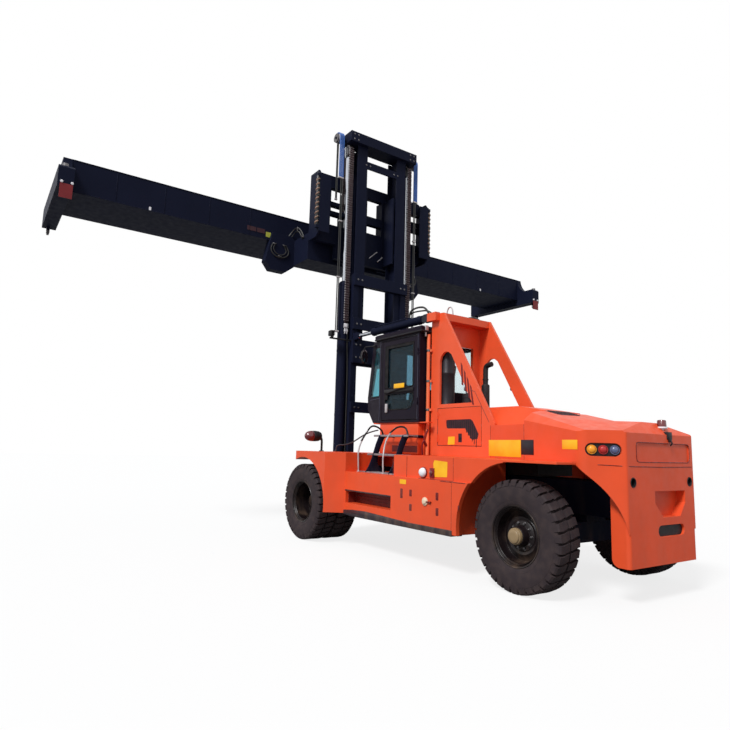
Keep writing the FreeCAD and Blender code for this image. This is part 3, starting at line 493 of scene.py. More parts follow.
# The red of the orange paint in shade: a plain colour for joint lines and filler levers, painted shade in the
# slots, footwell and pedestal recess.
UNDER_RED = Paint("underside_red", "dark_red_paint", srgb(112, 20, 18), 0.45, dust=0.35)
RIM_BLACK = Paint("rim_enamel", "dark_red_paint", srgb(24, 17, 19), 0.34, dust=0.4, wear_and_edge_highlight=0.4,
                  worn_and_edge_highlight=srgb(90, 74, 70), sheen=0.3)
STRIPE_RED = Paint("stripe_red", "dark_red_paint", srgb(112, 18, 22), 0.42, dust=0.05)
TRAY_BLACK = Paint("tray_black", "dark_paint", srgb(46, 40, 46), 0.38, dust=0.55, wear_and_edge_highlight=0.6,
                   worn_and_edge_highlight=srgb(128, 118, 124))
CAP_GOLD = Paint("cap_gold", "cap_paint", srgb(146, 124, 92), 0.38, dust=0.2, wear_and_edge_highlight=0.3)
CREAM = Paint("cream_enamel", "cap_paint", srgb(236, 214, 186), 0.40, dust=0.1, wear_and_edge_highlight=0.2)
# Light grey for thin lines along the cab frame's edges: painted highlight.
CAB_EDGE_HIGHLIGHT = Metal("cab_edge_highlight", "steel", srgb(84, 84, 104), 0.4, grime=0.3, metallic=0.4)
STEP_GREY = Metal("step_zinc", "steel", srgb(158, 150, 154), 0.42, grime=0.45, metallic=0.5)
LIGHT_TUBE = Metal("light_tube", "steel", srgb(196, 192, 194), 0.40, grime=0.35, metallic=0.3)
CHROME = Metal("hard_chrome", "chrome", srgb(216, 220, 228), 0.12, grain=(1.0, 1.0, 0.1), grime=0.05,
               relief=0.01)
STEEL = Metal("bare_steel", "steel", srgb(112, 110, 112), 0.40, grime=0.4)
CHAIN_STEEL = Metal("oiled_chain", "steel", srgb(74, 62, 66), 0.42, grime=0.5)
CAST = Metal("cast_iron", "cast", srgb(40, 38, 40), 0.62, grime=0.4, metallic=0.3)
CAN_GREY = Metal("can_grey", "plastic", srgb(32, 27, 34), 0.45, grime=0.3, metallic=0.2)
BRIGHT_CAN = Metal("bright_can", "chrome", srgb(206, 204, 208), 0.28, grime=0.15, metallic=0.7)
TYRE = Rubber("tyre_rubber", "tyre", srgb(50, 42, 45), 0.78, dust=srgb(86, 72, 68), dusting=0.30)
HOSE_BLUE = Rubber("hose_blue", "hose_blue", srgb(34, 50, 80), 0.50, dust=srgb(54, 66, 88), dusting=0.25)
HOSE_BLACK = Rubber("hose_black", "hose_black", srgb(20, 20, 26), 0.5, dusting=0.15)
WRAP_BROWN = Rubber("cable_wrap", "hose_black", srgb(150, 120, 104), 0.6, dust=srgb(176, 150, 132),
                    dusting=0.5)
SEAL = Rubber("window_seal", "plastic", srgb(11, 11, 15), 0.6, dusting=0.1)
PLASTIC = Moulding("black_plastic", "plastic", srgb(18, 17, 21), 0.50)
VENT_BLACK = Moulding("vent_black", "plastic", srgb(52, 22, 32), 0.55)
GREY_PLASTIC = Moulding("grey_plastic", "plastic", srgb(96, 98, 104), 0.5)
YELLOW = Moulding("yellow_label", "plastic", srgb(244, 176, 30), 0.40, pebble=0.03)
LIME = Moulding("lime_label", "plastic", srgb(168, 172, 66), 0.42, pebble=0.03)
WHITE = Moulding("white_plastic", "plastic", srgb(226, 226, 230), 0.38, pebble=0.03)
BLACK_LABEL = Moulding("black_label", "plastic", srgb(24, 18, 28), 0.38, pebble=0.03)
LABEL_RED = Moulding("red_label", "plastic", srgb(112, 24, 30), 0.45, pebble=0.05)
RED_LENS = Lens("red_lens", "red_lens", srgb(140, 28, 38), 0.22, glow=0.0)
DARK_RED_LENS = Lens("dark_red_lens", "red_lens", srgb(116, 18, 28), 0.26, glow=0.0)
AMBER_LENS = Lens("amber_lens", "red_lens", srgb(150, 78, 50), 0.22, glow=0.0)
CLEAR_LENS = Lens("clear_lens", "red_lens", srgb(96, 106, 150), 0.20, glow=0.0)
GLASS = Pane("cab_glass", "glass", srgb(240, 249, 250), 0.03)
# Door glass: a real teal tint, deepened as painted shade for the dark cab inside seen through it.
TEAL_GLASS = Pane("teal_glass", "glass", srgb(92, 136, 156), 0.03)
CORNER_GLASS = Pane("corner_glass", "glass", srgb(104, 178, 192), 0.03)
MIRROR = Metal("mirror_face", "chrome", srgb(140, 128, 132), 0.08, grime=0.05, relief=0.01)
CLOTH = Cloth("seat_cloth", "seat_fabric", srgb(34, 32, 38), 0.85)

NODE_FINISH = {"drive_axle": NAVY, "steer_axle": NAVY, "steer_knuckle_left": CAST,
               "steer_knuckle_right": CAST, "chassis_frame": NAVY, "side_boxes": ORANGE,
               "front_fenders": ORANGE, "fender_lamps": PLASTIC, "cab_pedestal": ORANGE, "cab_steps": NAVY,
               "engine_hood": ORANGE, "engine_block": CAST, "counterweight": ORANGE, "rear_lamps": RED_LENS,
               "beacon": RED_LENS, "gantry_frame": GANTRY_ORANGE, "gantry_pipe": ORANGE_LIT_COPY,
               "service_door_left": ORANGE, "service_door_right": ORANGE, "air_cleaner": CAN_GREY,
               "exhaust_stack": CAST, "cab_shell": CAB_BLACK, "cab_glass": GLASS, "cab_door": CAB_BLACK,
               "door_glass": TEAL_GLASS, "mirror": PLASTIC, "operator_seat": CLOTH,
               "steering_console": PLASTIC, "outer_mast": NAVY, "lift_cylinder_barrels": NAVY,
               "lift_rods": CHROME, "mast_wheels": STEEL, "lift_chains": CHAIN_STEEL, "inner_mast": NAVY,
               "mast_hoses": HOSE_BLUE, "mast_work_lamps": PLASTIC, "tilt_barrel_left": NAVY,
               "tilt_barrel_right": NAVY, "tilt_rod_left": CHROME, "tilt_rod_right": CHROME,
               "carriage": NAVY, "carriage_cable": WRAP_BROWN, "spreader_beam": NAVY,
               "spreader_frame": NAVY, "end_beams": NAVY, "end_reflectors": LABEL_RED,
               "drive_tyres_left": TYRE, "drive_tyres_right": TYRE, "drive_rims_left": RIM_BLACK,
               "drive_rims_right": RIM_BLACK, "steer_tyre_left": TYRE, "steer_tyre_right": TYRE,
               "steer_rim_left": RIM_BLACK, "steer_rim_right": RIM_BLACK, "steer_hub_cap_left": CAP_GOLD,
               "steer_hub_cap_right": CAP_GOLD, "twistlock_rear_left": STEEL, "twistlock_rear_right": STEEL,
               "twistlock_front_left": STEEL, "twistlock_front_right": STEEL,}


def dress_nodes() -> None:
    """Gives every CAD node its finish."""
    for name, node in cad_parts.items():
        node.data.materials.clear()
        node.data.materials.append(NODE_FINISH[name].material())


# Forms
class Form:
    """A mesh under construction from bmesh operators, in the row frame."""

    def __init__(self) -> None:
        """Starts an empty mesh."""
        self.bm = bmesh.new()

    def soften(self, edges: list, width: float, segments: int = 2) -> None:
        """Rounds edges by a width.

        Args:
            edges: the edges to round.
            width: how far the rounding reaches.
            segments: its steps.
        """
        if width > 0 and edges:
            bmesh.ops.bevel(self.bm, geom=edges, offset=width, affect="EDGES", segments=segments,
                            profile=0.5, material=-1, clamp_overlap=True)

    def block(self, low: Vector, high: Vector, edge: float = 0.002, segments: int = 2,
              turn: Matrix | None = None) -> "Form":
        """Adds a box with rounded edges.

        Args:
            low: its lowest corner.
            high: its highest corner.
            edge: the width of the rounding.
            segments: the steps of the rounding.
            turn: a rotation about the box's own centre.

        Returns:
            This form.
        """
        centre = (low + high) / 2
        size = high - low
        place = Matrix.Translation(centre) @ (turn.to_4x4() if turn else Matrix.Identity(4))
        made = bmesh.ops.create_cube(self.bm, size=1.0, matrix=place
                                     @ Matrix.Diagonal((*[abs(s) for s in size], 1.0)))
        edges = list({e for v in made["verts"] for e in v.link_edges})
        self.soften(edges, min(edge, min(abs(s) for s in size) * 0.45), segments)
        return self

    def rod(self, start: Vector, end: Vector, radius: float, tip: float | None = None, edge: float = 0.0,
            sides: int = 24) -> "Form":
        """Adds a round bar, or a cone if the tip is given.

        Args:
            start: the middle of one end.
            end: the middle of the other end.
            radius: the radius at the start.
            tip: the radius at the end, if it differs.
            edge: the rounding of its rims.
            sides: the steps round it.

        Returns:
            This form.
        """
        run = end - start
        place = Matrix.Translation((start + end) / 2) @ run.to_track_quat("Z", "Y").to_matrix().to_4x4()
        made = bmesh.ops.create_cone(self.bm, cap_ends=True, segments=sides, radius1=radius,
                                     radius2=radius if tip is None else tip, depth=run.length, matrix=place)
        rims = list({e for v in made["verts"] for e in v.link_edges if any(len(f.verts) > 4
                for f in e.link_faces)})
        self.soften(rims, edge)
        return self

    def sheet(self, corners: list[Vector], outward: Vector, thickness: float = SKIN,
              edge: float = 0.0) -> "Form":
        """Adds a thin flat plate: an outline pulled along a direction.

        Args:
            corners: the outline, on the surface that carries the plate.
            outward: the way it stands proud.
            thickness: how far it stands proud.
            edge: the rounding of its edges.

        Returns:
            This form.
        """
        face = self.bm.faces.new([self.bm.verts.new(corner) for corner in corners])
        made = bmesh.ops.extrude_face_region(self.bm, geom=[face], use_keep_orig=True)
        verts = [item for item in made["geom"] if isinstance(item, bmesh.types.BMVert)]
        bmesh.ops.translate(self.bm, verts=verts, vec=outward.normalized() * thickness)
        region = list({f for v in verts for f in v.link_faces} | {face})
        bmesh.ops.recalc_face_normals(self.bm, faces=region)
        self.soften(list({e for f in region for e in f.edges}), edge)
        return self

    def prism(self, outline: list[Pair], axis: Axis, near: float, far: float, edge: float = 0.0) -> "Form":
        """Adds an outline pulled along an axis between two values of it.

        Args:
            outline: points on the other two axes, in their order X, Y, Z, measured from the drive axle.
            axis: the axis to pull along.
            near: where it starts.
            far: where it ends.
            edge: the rounding of its edges.

        Returns:
            This form.
        """
        corners = []
        for first, second in outline:
            place = [first, second]
            place.insert(axis.value, near)
            corners.append(at(*place))
        outward = Vector([0.0, 0.0, 0.0])
        outward[axis.value] = math.copysign(1.0, far - near)
        return self.sheet(corners, outward, abs(far - near), edge)

    def lathe(self, profile: list[Pair], centre: Vector, axis: Vector, steps: int = 48) -> "Form":
        """Adds a profile turned full circle.

        Args:
            profile: points of (radius, distance along the axis).
            centre: where the distance along the axis is 0.
            axis: the axle's direction.
            steps: the steps of the turn.

        Returns:
            This form.
        """
        along = axis.normalized()
        across = along.orthogonal().normalized()
        verts = [self.bm.verts.new(centre + across * radius + along * offset) for radius, offset in profile]
        edges = [self.bm.edges.new(pair) for pair in zip(verts, verts[1:])]
        bmesh.ops.spin(self.bm, geom=verts + edges, cent=centre, axis=along, angle=2 * math.pi, steps=steps,
                       use_merge=True, use_duplicate=False)
        return self

    def tube(self, points: list[Vector], radius: float, sides: int = 12, smooth: bool = True) -> "Form":
        """Adds a round tube along a line.

        Args:
            points: places along its middle line.
            radius: its radius.
            sides: the steps round it.
            smooth: a smooth line if true, straight runs if not.

        Returns:
            This form.
        """
        curve = bpy.data.curves.new("line", "CURVE")
        curve.dimensions = "3D"
        curve.bevel_depth = radius
        curve.bevel_resolution = max(1, sides // 4 - 1)
        curve.use_fill_caps = True
        spline = curve.splines.new("NURBS" if smooth else "POLY")
        spline.points.add(len(points) - 1)
        for place, point in zip(spline.points, points):
            place.co = (*point, 1.0)
        if smooth:
            spline.order_u = 3
            spline.use_endpoint_u = True
            spline.resolution_u = 8
        carrier = bpy.data.objects.new("line", curve)
        bpy.context.scene.collection.objects.link(carrier)
        bpy.context.view_layer.update()
        mesh = bpy.data.meshes.new_from_object(carrier.evaluated_get(bpy.context.evaluated_depsgraph_get()))
        self.bm.from_mesh(mesh)
        bpy.data.objects.remove(carrier)
        bpy.data.curves.remove(curve)
        bpy.data.meshes.remove(mesh)
        return self

    def bolt(self, place: Vector, outward: Vector, radius: float = 0.014, height: float = 0.010) -> "Form":
        """Adds a hexagon head on a washer.

        Args:
            place: where it meets the surface.
            outward: the way it stands proud.
            radius: its radius.
            height: its height with the washer.

        Returns:
            This form.
        """
        out = outward.normalized()
        self.rod(place, place + out * 0.003, radius * 1.35, sides=16)
        return self.rod(place, place + out * height, radius, edge=0.0015, sides=6)

    def mirror_copy(self) -> "Form":
        """Adds the same shapes on the truck's other side.

        Returns:
            This form.
        """
        geom = self.bm.verts[:] + self.bm.edges[:] + self.bm.faces[:]
        made = bmesh.ops.duplicate(self.bm, geom=geom)["geom"]
        verts = [item for item in made if isinstance(item, bmesh.types.BMVert)]
        bmesh.ops.scale(self.bm, vec=(1.0, -1.0, 1.0), verts=verts)
        faces = [item for item in made if isinstance(item, bmesh.types.BMFace)]
        bmesh.ops.reverse_faces(self.bm, faces=faces)
        return self

    def piece(self, name: str, finish: Finish, body: str = "chassis", stands_for: tuple[str, ...] = (),
              smooth_angle: float = 35.0) -> bpy.types.Object:
        """Ends the form as an object that rides on a body.

        Args:
            name: the piece's name.
            finish: its finish.
            body: the CAD body that carries it.
            stands_for: CAD nodes that it takes the place of.
            smooth_angle: faces that meet at less than this many degrees shade as one.

        Returns:
            The finished object.
        """
        bmesh.ops.remove_doubles(self.bm, verts=self.bm.verts[:], dist=1e-6)
        bmesh.ops.recalc_face_normals(self.bm, faces=self.bm.faces[:])
        mesh = bpy.data.meshes.new(name)
        self.bm.to_mesh(mesh)
        self.bm.free()
        mesh.shade_smooth()
        mesh.set_sharp_from_angle(angle=math.radians(smooth_angle))
        mesh.materials.append(finish.material())
        made = bpy.data.objects.new(name, mesh)
        bpy.context.scene.collection.objects.link(made)
        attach(made, body)
        if stands_for:
            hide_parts(*stands_for)
        log.info("%s on %s: %d faces", name, body, len(mesh.polygons))
        return made


# Wheels
@dataclass
class Tyre:
    """A pneumatic tyre with two staggered rows of blocks and notched shoulders."""

    radius: float = TYRE_R
    width: float = 0.385
    blocks: int = 34
    groove: float = 0.040
    bead: float = 0.352

    def carcass(self) -> list[Pair]:
        """Draws the section of the casing.

        Returns:
            Points of (radius, offset) from bead to bead.
        """
        half = self.width / 2
        side = [(self.bead, -0.80 * half), (self.bead + 0.012, -0.87 * half), (0.400, -0.93 * half),
                (0.452, -0.985 * half), (0.505, -half), (0.560, -0.995 * half), (0.600, -0.965 * half),
                (self.radius - self.groove - 0.004, -0.90 * half), (self.radius - self.groove, -0.78 * half)]
        return side + [(radius, -offset) for radius, offset in reversed(side)]

    def block(self, form: Form, centre: Vector, side: int, turn: float) -> None:
        """Adds one tread block.

        Args:
            form: the form that takes it.
            centre: the tyre's centre.
            side: 1 or -1, for the row.
            turn: its angle about the axle, from the top.
        """
        half = self.width / 2
        pitch = 2 * math.pi / self.blocks
        section = [(0.010, self.radius - self.groove - 0.006), (0.016, self.radius - 0.002),
                   (0.120, self.radius), (half * 0.86, self.radius - 0.004),
                   (half * 0.955, self.radius - 0.022), (half, 0.596), (half * 0.93, 0.590),
                   (half * 0.80, self.radius - self.groove - 0.006)]
        start, end = turn - 0.36 * pitch, turn + 0.36 * pitch
        skew = 0.30 * pitch
        rows = []
        for angle in (start, end):
            row = []
            for offset, radius in section:
                lean = side * skew * max(0.0, 1 - offset / 0.11)
                theta = angle + lean
                row.append(form.bm.verts.new(centre + Vector((radius * math.sin(theta), side * offset,
                                                              radius * math.cos(theta)))))
            rows.append(row)
        cap = form.bm.faces.new(rows[0])
        other = form.bm.faces.new(rows[1])
        rims = [edge for face in (cap, other) for edge in face.edges]
        bmesh.ops.bridge_loops(form.bm, edges=rims)

    def build(self, form: Form, centre: Vector) -> None:
        """Adds the whole tyre.

        Args:
            form: the form that takes it.
            centre: the tyre's centre.
        """
        form.lathe(self.carcass(), centre, LEFT, 102)
        pitch = 2 * math.pi / self.blocks
        for index in range(self.blocks):
            self.block(form, centre, 1, index * pitch)
            self.block(form, centre, -1, (index + 0.5) * pitch)
        for side in (1, -1):
            for radius in (0.420, 0.585):
                ring = [(radius - 0.004, 0.0), (radius, 0.003), (radius + 0.004, 0.0)]
                place = centre + Vector((0.0, side * (0.948 if radius < 0.5 else 0.972) * self.width / 2,
                                         0.0))
                form.lathe(ring, place, Vector((0.0, side, 0.0)), 72)


@dataclass
class Wheel:
    """A dished disc wheel: rim well, lock ring, disc and a ring of nuts."""

    half: float = 0.154
    flange: float = 0.366
    disc: float = 0.0
    hub: float = 0.185
    nuts: int = 10
    nut_circle: float = 0.150

    def rim(self, form: Form, centre: Vector, side: int) -> None:
        """Adds the rim, its flanges, its disc and its lock ring.

        Args:
            form: the form that takes it.
            centre: the wheel's centre.
            side: 1 or -1, the way that the dish faces.
        """
        half = self.half
        profile = [(0.0, self.disc), (self.hub, self.disc), (0.222, self.disc + 0.014),
                   (0.262, self.disc - 0.020), (0.300, self.disc - 0.030), (0.316, self.disc + 0.010),
                   (0.318, half - 0.030), (0.334, half - 0.012), (0.345, half + 0.004),
                   (self.flange, half + 0.006), (self.flange + 0.004, half + 0.014),
                   (self.flange - 0.002, half + 0.022), (0.350, half + 0.016), (0.344, half - 0.004),
                   (0.338, 0.0), (0.344, -half), (self.flange, -half - 0.014), (0.345, -half - 0.014),
                   (0.306, -half + 0.02), (0.306, self.disc - 0.050), (0.290, self.disc - 0.052),
                   (0.0, self.disc - 0.030)]
        form.lathe(profile, centre, Vector((0.0, side, 0.0)), 64)
        lock = [(0.322, half - 0.020), (0.330, half - 0.004), (0.338, half - 0.020)]
        form.lathe(lock, centre, Vector((0.0, side, 0.0)), 64)

    def nut_ring(self, form: Form, centre: Vector, side: int, lift: float) -> None:
        """Adds the wheel nuts on their studs.

        Args:
            form: the form that takes them.
            centre: the wheel's centre.
            side: 1 or -1, the way that they face.
            lift: how far out of the centre they sit.
        """
        for index in range(self.nuts):
            turn = 2 * math.pi * (index + 0.5) / self.nuts
            place = centre + Vector((self.nut_circle * math.sin(turn), side * lift,
                                     self.nut_circle * math.cos(turn)))
            out = Vector((0.0, side, 0.0))
            form.rod(place, place + out * 0.004, 0.024, sides=16)
            form.rod(place, place + out * 0.022, 0.017, edge=0.002, sides=6)
            form.rod(place, place + out * 0.032, 0.009, edge=0.002, sides=12)


@dataclass
class RunningGear:
    """All six wheels with their tyres, nuts and hub caps."""

    tyre: Tyre = field(default_factory=Tyre)

    def drive(self, side: str, sign: int) -> None:
        """Builds the dual wheels on one side.

        Args:
            side: left or right.
            sign: 1 for the left, -1 for the right.
        """
        body = "drive_wheels_" + side
        middle = (DRIVE_Y[0] + DRIVE_Y[1]) / 2
        inner = at(0.0, sign * DRIVE_Y[0], TYRE_R)
        outer = at(0.0, sign * DRIVE_Y[1], TYRE_R)
        form = Form()
        self.tyre.build(form, inner)
        self.tyre.build(form, outer)
        form.piece(body + "_tyres", TYRE, body, ("drive_tyres_" + side,))
        form = Form()
        outward = Wheel(disc=middle - DRIVE_Y[1] + 0.030)
        outward.rim(form, outer, sign)
        Wheel(disc=-(middle - DRIVE_Y[0]) + 0.030).rim(form, inner, -sign)
        hub = [(0.130, -0.19), (0.205, -0.19), (0.205, 0.020), (0.196, 0.036), (0.176, 0.044),
               (0.168, 0.110), (0.150, 0.128), (0.120, 0.134), (0.112, 0.168), (0.096, 0.178), (0.0, 0.180)]
        axle = Vector((0.0, sign, 0.0))
        form.lathe(hub, at(0.0, sign * middle, TYRE_R), axle, 48)
        form.piece(body + "_rims", RIM_BLACK, body, ("drive_rims_" + side,))
        form = Form()
        outward.nut_circle = 0.186
        outward.nut_ring(form, at(0.0, sign * middle, TYRE_R), sign, 0.034)
        for index in range(8):
            turn = 2 * math.pi * index / 8
            place = at(0.120 * math.sin(turn) * 1.18, sign * (middle + 0.128), TYRE_R
                       + 0.120 * math.cos(turn) * 1.18)
            form.bolt(place, axle, 0.010, 0.010)
        form.piece(body + "_nuts", STEEL, body)

    def steer(self, side: str, sign: int) -> None:
        """Builds the steer wheel on one side.

        Args:
            side: left or right.
            sign: 1 for the left, -1 for the right.
        """
        body = "steer_wheel_" + side
        centre = at(-WHEELBASE, sign * STEER_Y, TYRE_R)
        form = Form()
        self.tyre.build(form, centre)
        form.piece(body + "_tyre", TYRE, body, ("steer_tyre_" + side,))
        wheel = Wheel(disc=0.030)
        form = Form()
        wheel.rim(form, centre, sign)
        axle = Vector((0.0, sign, 0.0))
        form.lathe([(0.190, -0.05), (0.190, 0.030), (0.176, 0.042), (0.128, 0.048), (0.118, 0.060),
                    (0.112, 0.132), (0.104, 0.142), (0.0, 0.142)], centre, axle, 48)
        form.piece(body + "_rim", RIM_BLACK, body, ("steer_rim_" + side,))
        form = Form()
        wheel.nut_ring(form, centre, sign, 0.040)
        form.piece(body + "_nuts", STEEL, body)
        form = Form()
        cap = [(0.098, 0.138), (0.098, 0.172), (0.094, 0.180), (0.084, 0.182), (0.082, 0.196),
               (0.076, 0.203), (0.040, 0.204), (0.0, 0.204)]
        form.lathe(cap, centre, axle, 48)
        form.piece(body + "_cap", CAP_GOLD, body, ("steer_hub_cap_" + side,), 50.0)

    def build(self) -> None:
        """Builds both sides."""
        for side, sign in SIDES:
            self.drive(side, sign)
            self.steer(side, sign)


# Body
def flare(x: float, lift: float = 0.0) -> float:
    """Finds the half width of the flared tail body.

    Args:
        x: the place along the truck.
        lift: how far outside the surface.

    Returns:
        The half width there.
    """
    share = (FLARE_FRONT[0] - x) / (FLARE_FRONT[0] - SHOULDER[0])
    return FLARE_FRONT[1] + share * (SHOULDER[1] - FLARE_FRONT[1]) + lift


@dataclass
class TankBoxes:
    """Small things on the side boxes: holes, caps, labels, lamps and the lower strip."""

    face: float = 1.500
    upper: float = 1.450

    def holes(self) -> None:
        """Builds dark-red sheets of painted shade where the slots in the lower box open, and the filler cap
        with its lever.
        """
        form = Form()
        # Each slot is a dark-red sheet on the face: painted shade inside the opening.
        for x, z, tall in ((-2.778, 1.033, 0.048), (-2.781, 0.829, 0.048), (-3.355, 1.032, 0.052),
                           (-3.359, 0.826, 0.052), (-3.778, 0.926, 0.026), (-2.566, 1.012, 0.070)):
            wide = 0.028 if tall > 0.03 else 0.014
            slot = [(x - wide, z - tall), (x + wide, z - tall), (x + wide, z + tall), (x - wide, z + tall)]
            form.prism(rounded(slot, 0.012), Axis.Y, self.face - 0.004, self.face + 0.002, 0.0008)
        form.mirror_copy().piece("tank_slot_shade", UNDER_RED)
        form = Form()
        x, z = -3.110, 0.945
        form.rod(at(x, self.face - 0.002, z), at(x, self.face + 0.018, z), 0.058, edge=0.006)
        form.rod(at(x, self.face + 0.012, z), at(x, self.face + 0.034, z), 0.044, tip=0.036, edge=0.006)
        form.mirror_copy().piece("filler_caps", CREAM)
        form = Form()
        form.block(at(x - 0.130, self.face + 0.014, z - 0.014), at(x - 0.040, self.face + 0.026, z + 0.006),
                   0.004)
        form.rod(at(x - 0.118, self.face, z - 0.004), at(x - 0.118, self.face + 0.030, z - 0.004), 0.014,
                 edge=0.002)
        form.mirror_copy().piece("filler_levers", UNDER_RED)

    def signals(self) -> None:
        """Builds the blank labels and the two lamps on the upper box."""
        form = Form()
        label = [(-3.235, 1.305), (-3.255, 1.290), (-3.500, 1.300), (-3.505, 1.505), (-3.235, 1.520),
                 (-3.215, 1.470)]
        form.prism(rounded(label, 0.012), Axis.Y, self.upper + 0.0005, self.upper + 0.0025)
        label = [(-2.520, 1.150), (-2.670, 1.150), (-2.670, 1.215), (-2.520, 1.215)]
        form.prism(rounded(label, 0.010), Axis.Y, self.face + 0.0005, self.face + 0.0025)
        form.mirror_copy().piece("box_labels", YELLOW)
        form = Form()
        form.lathe([(0.0, 0.066), (0.030, 0.064), (0.054, 0.052), (0.066, 0.030), (0.068, 0.0)],
                   at(-3.010, self.upper, 1.340), LEFT, 32)
        form.mirror_copy().piece("step_lamps_white", WHITE)
        form = Form()
        form.lathe([(0.069, 0.0), (0.076, 0.004), (0.076, 0.014), (0.068, 0.018)],
                   at(-3.010, self.upper, 1.340), LEFT, 32)
        form.block(at(-3.155, self.upper, 1.278), at(-3.245, self.upper + 0.022, 1.408), 0.006)
        form.mirror_copy().piece("step_lamp_bezels", LABEL_RED)
        form = Form()
        form.lathe([(0.0, 0.046), (0.020, 0.044), (0.032, 0.036), (0.036, 0.020)],
                   at(-3.200, self.upper, 1.345), LEFT, 24)
        form.mirror_copy().piece("step_lamps_red", DARK_RED_LENS)
        form = Form()
        form.block(at(-2.800, 1.335, 1.251), at(-2.650, 1.448, 1.330), 0.010)
        form.mirror_copy().piece("valve_blocks", LABEL_RED)

    def edges(self) -> None:
        """Builds the tray under each box, the footwell's edge, dark-red sheets of painted shade inside the
        footwell, the dark joint lines and dark lines of painted shade along the ledge.
        """
        form = Form()
        tray = [(-0.74, 0.552), (-1.24, 0.532), (-2.79, 0.536), (-3.655, 0.538), (-3.655, 0.618),
                (-2.75, 0.612), (-1.63, 0.650), (-1.24, 0.636), (-0.99, 0.615), (-0.99, 0.580),
                (-0.74, 0.575)]
        form.prism(rounded(tray, 0.012, 3), Axis.Y, 1.380, self.face + 0.010, 0.004)
        form.block(at(-3.640, 1.300, 0.534), at(-1.000, 1.385, 0.546), 0.002)
        form.mirror_copy().piece("box_trays", TRAY_BLACK)
        form = Form()
        form.block(at(-2.302, 1.300, 0.932), at(-1.005, self.face + 0.004, 0.956), 0.006)
        form.mirror_copy().piece("footwell_edges", TRAY_BLACK)
        # Dark-red sheets on the footwell's back and ends, with two thin bars: painted shade inside the
        # recess.
        form = Form()
        form.block(at(-2.296, 1.2815, 0.737), at(-1.034, 1.2865, 0.905), 0.001, 1)
        form.block(at(-2.299, 1.2815, 0.737), at(-2.294, 1.440, 0.905), 0.001, 1)
        form.block(at(-1.036, 1.2815, 0.737), at(-1.031, 1.440, 0.905), 0.001, 1)
        for z in (0.795, 0.850):
            form.tube([at(-2.290, 1.290, z), at(-1.040, 1.290, z)], 0.004, 8, smooth=False)
        form.mirror_copy().piece("footwell_shade", UNDER_RED)
        form = Form()
        for x in (-2.28, -3.62):
            form.tube([at(x, self.upper + 0.001, 1.255), at(x, self.upper + 0.001, 1.565)], 0.0025,
                      smooth=False)
        form.tube([at(-2.62, self.upper + 0.001, 1.255), at(-2.62, self.upper + 0.001, 1.565)], 0.0035,
                  smooth=False)
        # Two dark lines along the ledge, in its crease and under its edge toward the rear: painted shade. The
        # upright lines are joints.
        form.block(at(-3.62, self.upper - 0.002, 1.2495), at(-2.90, self.upper + 0.012, 1.2555), 0.001)
        form.block(at(-3.90, self.face - 0.001, 1.2375), at(-3.42, self.face + 0.002, 1.2475), 0.001)
        form.tube([at(-3.64, self.face + 0.0005, 0.62), at(-3.64, self.face + 0.0005, 1.245)], 0.0025,
                  smooth=False)
        form.mirror_copy().piece("box_seams_and_ledge_shade", UNDER_RED)

    def build(self) -> None:
        """Builds the fittings of both sides."""
        self.holes()
        self.signals()
        self.edges()


